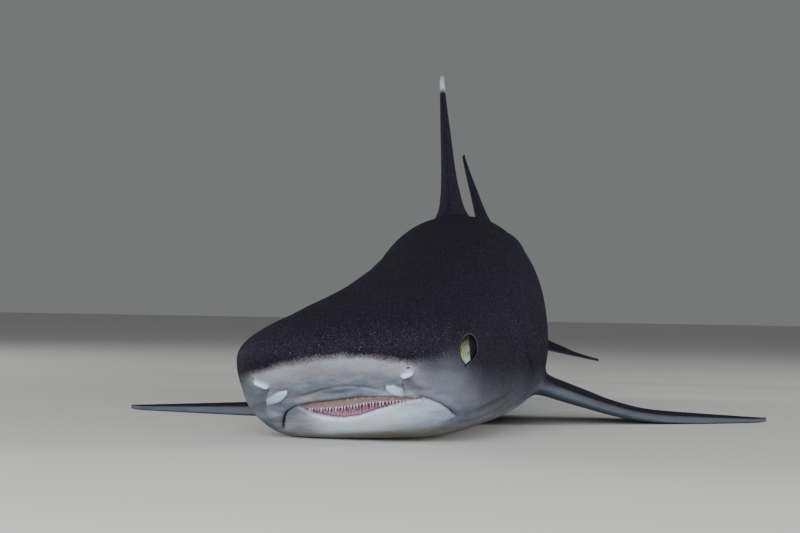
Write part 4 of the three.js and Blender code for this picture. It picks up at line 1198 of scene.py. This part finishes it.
def tooth_row(name, line, **values):
    """Teeth along a line of straight points, as one plain mesh."""
    rail = bpy.data.meshes.new(name)
    rail.from_pydata((settle(line) / 1000).tolist(), [(i, i + 1) for i in range(len(line) - 1)], [])
    piece = in_scene(name, rail)
    grown = piece.modifiers.new("tooth_row", "NODES")
    grown.node_group = tooth_tree
    for key, value in {**values, "Enamel": enamel}.items():
        grown[socket_of[key]] = value
    mesh = bpy.data.meshes.new_from_object(piece.evaluated_get(bpy.context.evaluated_depsgraph_get()))
    piece.modifiers.clear()
    piece.data = mesh
    mesh.shade_smooth()
    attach(piece, "root")


tooth_row(
    "lower_teeth", np.stack([low_u + 4.8, MOUTH_SPAN, low_z - 0.4 + 2.2 * room], -1)[12:-12],
    Spacing=0.0026, Height=0.0066, Width=0.00075, Lean=0.12, Seed=3,
)
# the height is negative so that these hang down, which also turns their faces inside out: a known fault
tooth_row(
    "upper_teeth", np.stack([lip_u + 4.8, MOUTH_SPAN, lip_z + 0.2 - upper_band * 0.98], -1)[11:-8],
    Spacing=0.0021, Height=-0.003, Width=0.00062, Lean=-0.2, Seed=7,
)

# ================================================================ nasal flaps
# A thin lobe of skin hangs from the inner side of each nostril down to the lip. Its lower edge is thicker,
# smooth and almost white, and stands a little off the face.
def face_normal(v, z):
    """The outward normal of the bare front of the head."""
    step = 0.4
    slope_v = (front_at(v + step, z) - front_at(v - step, z)) / (2 * step)
    slope_z = (front_at(v, z + step) - front_at(v, z - step)) / (2 * step)
    normal = np.stack([-np.ones_like(slope_v), slope_v, slope_z], -1)
    return normal / np.linalg.norm(normal, axis=-1, keepdims=True)


LOBE_WIDTH = 6.6  # how far the white lobe reaches in from its edge
# the line over the white lobe, the line along which each flap is attached, from its inner corner to the nostril, and
# its free edge between those two ends, as (v, z) on the face; the first four free points edge the white lobe
FLAPS = [
    (
        "left_nasal_flap", 1, [[32.0, 34.4], [38.0, 34.6], [41.5, 32.4]], [[33.4, 35.0], [39.4, 37.2], [44.8, 38.3]],
        [[32.6, 32.6], [33.3, 30.5], [35.4, 28.2], [40.4, 26.9], [41.5, 28.9], [42.3, 31.8], [43.4, 35.0]],
    ),
    (
        "right_nasal_flap", -1, [[32.0, 36.0], [40.0, 34.8], [53.0, 29.6]], [[31.8, 35.2], [37.2, 35.9], [44.3, 36.8]],
        [[33.3, 33.2], [37.0, 30.9], [43.1, 28.2], [53.6, 26.4], [52.6, 28.9], [50.0, 31.4], [47.2, 34.2]],
    ),
]


def along_edge(points, shares):
    """Smoothly spaced places along a chain of (v, z) points."""
    points = np.array(points)
    gone = np.concatenate([[0], np.cumsum(np.linalg.norm(np.diff(points, axis=0), axis=1))])
    return np.stack([curve(np.stack([gone, points[:, k]], -1))(shares * gone[-1]) for k in (0, 1)], -1)


for name, side, roof, hung, free in FLAPS:
    free = [hung[0], *free, hung[-1]]
    across, out = 60, 26
    a, b = np.linspace(0, 1, across), np.linspace(0, 1, out)
    flat = along_edge(hung, a)[:, None] * (1 - b)[:, None] + along_edge(free, a)[:, None] * b[:, None]
    v, z = flat[..., 0], flat[..., 1]
    base = np.stack([front_at(v, z), v, z], -1)
    normal = face_normal(v, z)
    lower_edge = np.array([[0, *pair] for pair in free[:5]], float)
    from_edge = to_line(np.stack([0 * v, v, z], -1).reshape(-1, 3), dense(lower_edge, 40))[0].reshape(v.shape)
    over = z - np.interp(v, *np.array(roof).T)
    lobe = (1 - ramp(from_edge, LOBE_WIDTH - 1.6, LOBE_WIDTH)) * (1 - ramp(over, -0.9, 0.5))
    whiteness = 0.8 - 0.36 * ramp((v - v.min()) / (v.max() - v.min()), 0.3, 0.95)
    rounding = np.sqrt(np.clip((1 - b) * out / 5, 0, 1))
    ends = ramp(a, 0, 0.18)[:, None] * (1 - ramp(a, 0.8, 1))[:, None]
    lift = (1.9 * ramp(b, 0.1, 1)[None, :] * ends)[..., None] * np.array([-1.0, 0.0, 0.0])
    thick = (0.2 + 0.9 * lobe) * rounding * ramp(b, 0.0, 0.35) - 0.5 * (1 - ramp(b, 0, 0.15))
    top = base + lift + normal * thick[..., None]
    sunk = 0.4 * rounding + 0.9 * (1 - b) + 0.5 * (1 - ramp(b, 0, 0.15))
    under = base + 0.75 * lift - normal * sunk[..., None]
    index = np.arange(across * out).reshape(across, out)
    p, q, r, s = index[:-1, :-1], index[1:, :-1], index[1:, 1:], index[:-1, 1:]
    sheet = np.concatenate([np.stack([p, q, r], -1).reshape(-1, 3), np.stack([p, r, s], -1).reshape(-1, 3)])
    loop = np.concatenate([index[:-1, 0], index[-1, :-1], index[:0:-1, -1], index[0, :0:-1]])
    turned, below = np.roll(loop, -1), across * out
    wall = np.concatenate([
        np.stack([turned, loop, loop + below], -1), np.stack([turned, loop + below, turned + below], -1),
    ])
    points = np.concatenate([top.reshape(-1, 3), under.reshape(-1, 3)]) * np.array([1, side, 1])
    faces = np.concatenate([sheet, sheet[:, ::-1] + below, wall])
    marks = {
        "nostril": np.tile((whiteness * lobe).ravel(), 2), "above": points[:, 2] - snout_line(points[:, 1]),
        "soft": np.full(len(points), 2.2), "straight": points / 1000,
    }
    piece = new_object(name, settle(points), faces, marks)
    piece.data.materials.append(shark_skin)
    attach(piece, "root")

# ================================================================ eyes
# A slightly flattened ball under a clear, wet cornea. The iris is mottled greenish white, golden in front, bluish
# low down and dark at the top, and the pupil is an upright oval that leans a little; it is drawn wide towards the rear,
# where it also paints the shade under the lid.
eye_wet, tree, shader = new_material("wet_iris_and_pupil")
ball = add(tree, "ShaderNodeAttribute", attribute_name="ball").outputs["Vector"]
mottle = {"Vector": ball, "Scale": 8.0, "Detail": 4.0, "Roughness": 0.75}
mottle = add(tree, "ShaderNodeTexNoise", mottle).outputs["Fac"]
fore, _, up = add(tree, "ShaderNodeSeparateXYZ", {0: ball}).outputs
iris = mixed(tree, ranged(tree, mottle, 0.42, 0.58), "#333C34", "#98A593")
for amount, paint in [
    (ranged(tree, fore, -0.45, -0.8, high=0.6), "#8A8C5C"),
    (ranged(tree, up, -0.15, -0.6, high=0.8), "#9DB0BC"),
    (ranged(tree, maths(tree, "MULTIPLY_ADD", up, 0.22, mottle), 0.53, 0.64), "#1D1E18"),
]:
    iris = mixed(tree, amount, iris, paint)
# the dark oval: the pupil, and painted shade under the rear of the lid
PUPIL_AND_LID_SHADE = {"middle": (0.1, 0.0, -0.07), "across": (0.97 / 0.4, 0, -0.24 / 0.4), "along": (0.24 / 0.7, 0, 0.97 / 0.7)}
from_pupil = add(tree, "ShaderNodeVectorMath", {0: ball, 1: PUPIL_AND_LID_SHADE["middle"]}, operation="SUBTRACT").outputs[0]
reach = [
    add(tree, "ShaderNodeVectorMath", {0: from_pupil, 1: PUPIL_AND_LID_SHADE[key]}, operation="DOT_PRODUCT").outputs["Value"]
    for key in ("across", "along")
]
reach = add(tree, "ShaderNodeCombineXYZ", {0: reach[0], 1: reach[1]}).outputs[0]
reach = add(tree, "ShaderNodeVectorMath", {0: reach}, operation="LENGTH").outputs["Value"]
colour = mixed(tree, ranged(tree, reach, 1.08, 0.95), iris, "#050506")
fill(tree, shader, {
    "Base Color": colour, "Roughness": 0.35, "Specular IOR Level": 0.03, "Coat Weight": 0.01, "Coat Roughness": 0.06,
})

for side, node in [(1, "left_eye"), (-1, "right_eye")]:
    rings, columns = 40, 64
    down = np.linspace(0, np.pi, rings + 1)[1:-1, None]
    turn = 2 * np.pi * np.arange(columns) / columns
    belt = np.stack(np.broadcast_arrays(np.sin(down) * np.cos(turn), np.cos(down), np.sin(down) * np.sin(turn)), -1)
    local = np.concatenate([belt.reshape(-1, 3), [[0, 1, 0], [0, -1, 0]]])
    i = np.arange(columns)
    j = (i + 1) % columns
    faces = [np.stack([np.full(columns, len(local) - 2), j, i], -1)]
    for ring in range(rings - 2):
        a, b = ring * columns, (ring + 1) * columns
        faces += [np.stack([a + i, a + j, b + j], -1), np.stack([a + i, b + j, b + i], -1)]
    last = (rings - 2) * columns
    faces.append(np.stack([np.full(columns, len(local) - 1), last + i, last + j], -1))
    points = from_eye(local) * np.array([1, side, 1])
    piece = new_object(f"{node}_ball", settle(points), np.concatenate(faces), {"ball": local})
    piece.data.materials.append(eye_wet)
    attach(piece, "root")
    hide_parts(node)

# ================================================================ studio
# A plain pale floor under soft light: a wide lamp in front above the camera, a weaker one beside it, a large one
# overhead and a low one at each side for the flanks.
floor = bpy.data.meshes.new("floor")
HALF_FLOOR, FLOOR_DROP = 40, 0.0003  # metres; the drop keeps it a hair under the flats that rest on it
corners = [(HALF_FLOOR * x, HALF_FLOOR * y, -FLOOR_DROP) for x, y in ((-1, -1), (1, -1), (1, 1), (-1, 1))]
floor.from_pydata(corners, [], [(0, 1, 2, 3)])
floor_piece = in_scene("floor", floor)
floor_paint, tree, shader = new_material("matt_floor_paint")
fill(tree, shader, {"Base Color": linear("#D2D2CF"), "Roughness": 0.9})
floor.materials.append(floor_paint)

world = bpy.data.worlds.new("studio")
world.use_nodes = True
fill(world.node_tree, world.node_tree.nodes["Background"], {"Color": linear("#D3D5D6"), "Strength": 0.28})
bpy.context.scene.world = world
AIM = Vector((0.3, 0.0, 0.06))
for name, place, power, size in [
    ("key", (1.85, -0.25, 0.5), 31, 0.9), ("fill", (1.9, 1.0, 0.8), 4, 1.2), ("overhead", (0.0, 0.2, 2.8), 4, 2.6),
    ("left", (-0.3, 2.3, 0.55), 38, 0.9), ("right", (-0.9, -2.3, 0.55), 36, 0.9),
]:
    lamp = bpy.data.lights.new(name, "AREA")
    lamp.energy, lamp.size = power, size
    lamp_piece = in_scene(name, lamp)
    lamp_piece.location = place
    lamp_piece.visible_camera = False
    lamp_piece.rotation_euler = (AIM - Vector(place)).to_track_quat("-Z", "Y").to_euler()

# The camera lies low in front of the snout, a little to the animal's left.
LOOK = Vector((-0.99818, -0.05231, 0.02999)).normalized()
level = Vector((-0.0523, 0.9986, 0.0))
level = (level - LOOK * level.dot(LOOK)).normalized()
upright = level.cross(LOOK)
TIP = math.radians(1)  # its slight lean to one side
camera_data = bpy.data.cameras.new("camera")
camera_data.sensor_width, camera_data.lens = 36, 74.25
camera = in_scene("camera", camera_data)
right = level * math.cos(TIP) + upright * math.sin(TIP)
up = upright * math.cos(TIP) - level * math.sin(TIP)
camera.matrix_world = Matrix((right, up, -LOOK)).transposed().to_4x4()
camera.location = (1.42346, 0.02261, 0.08)
bpy.context.scene.camera = camera
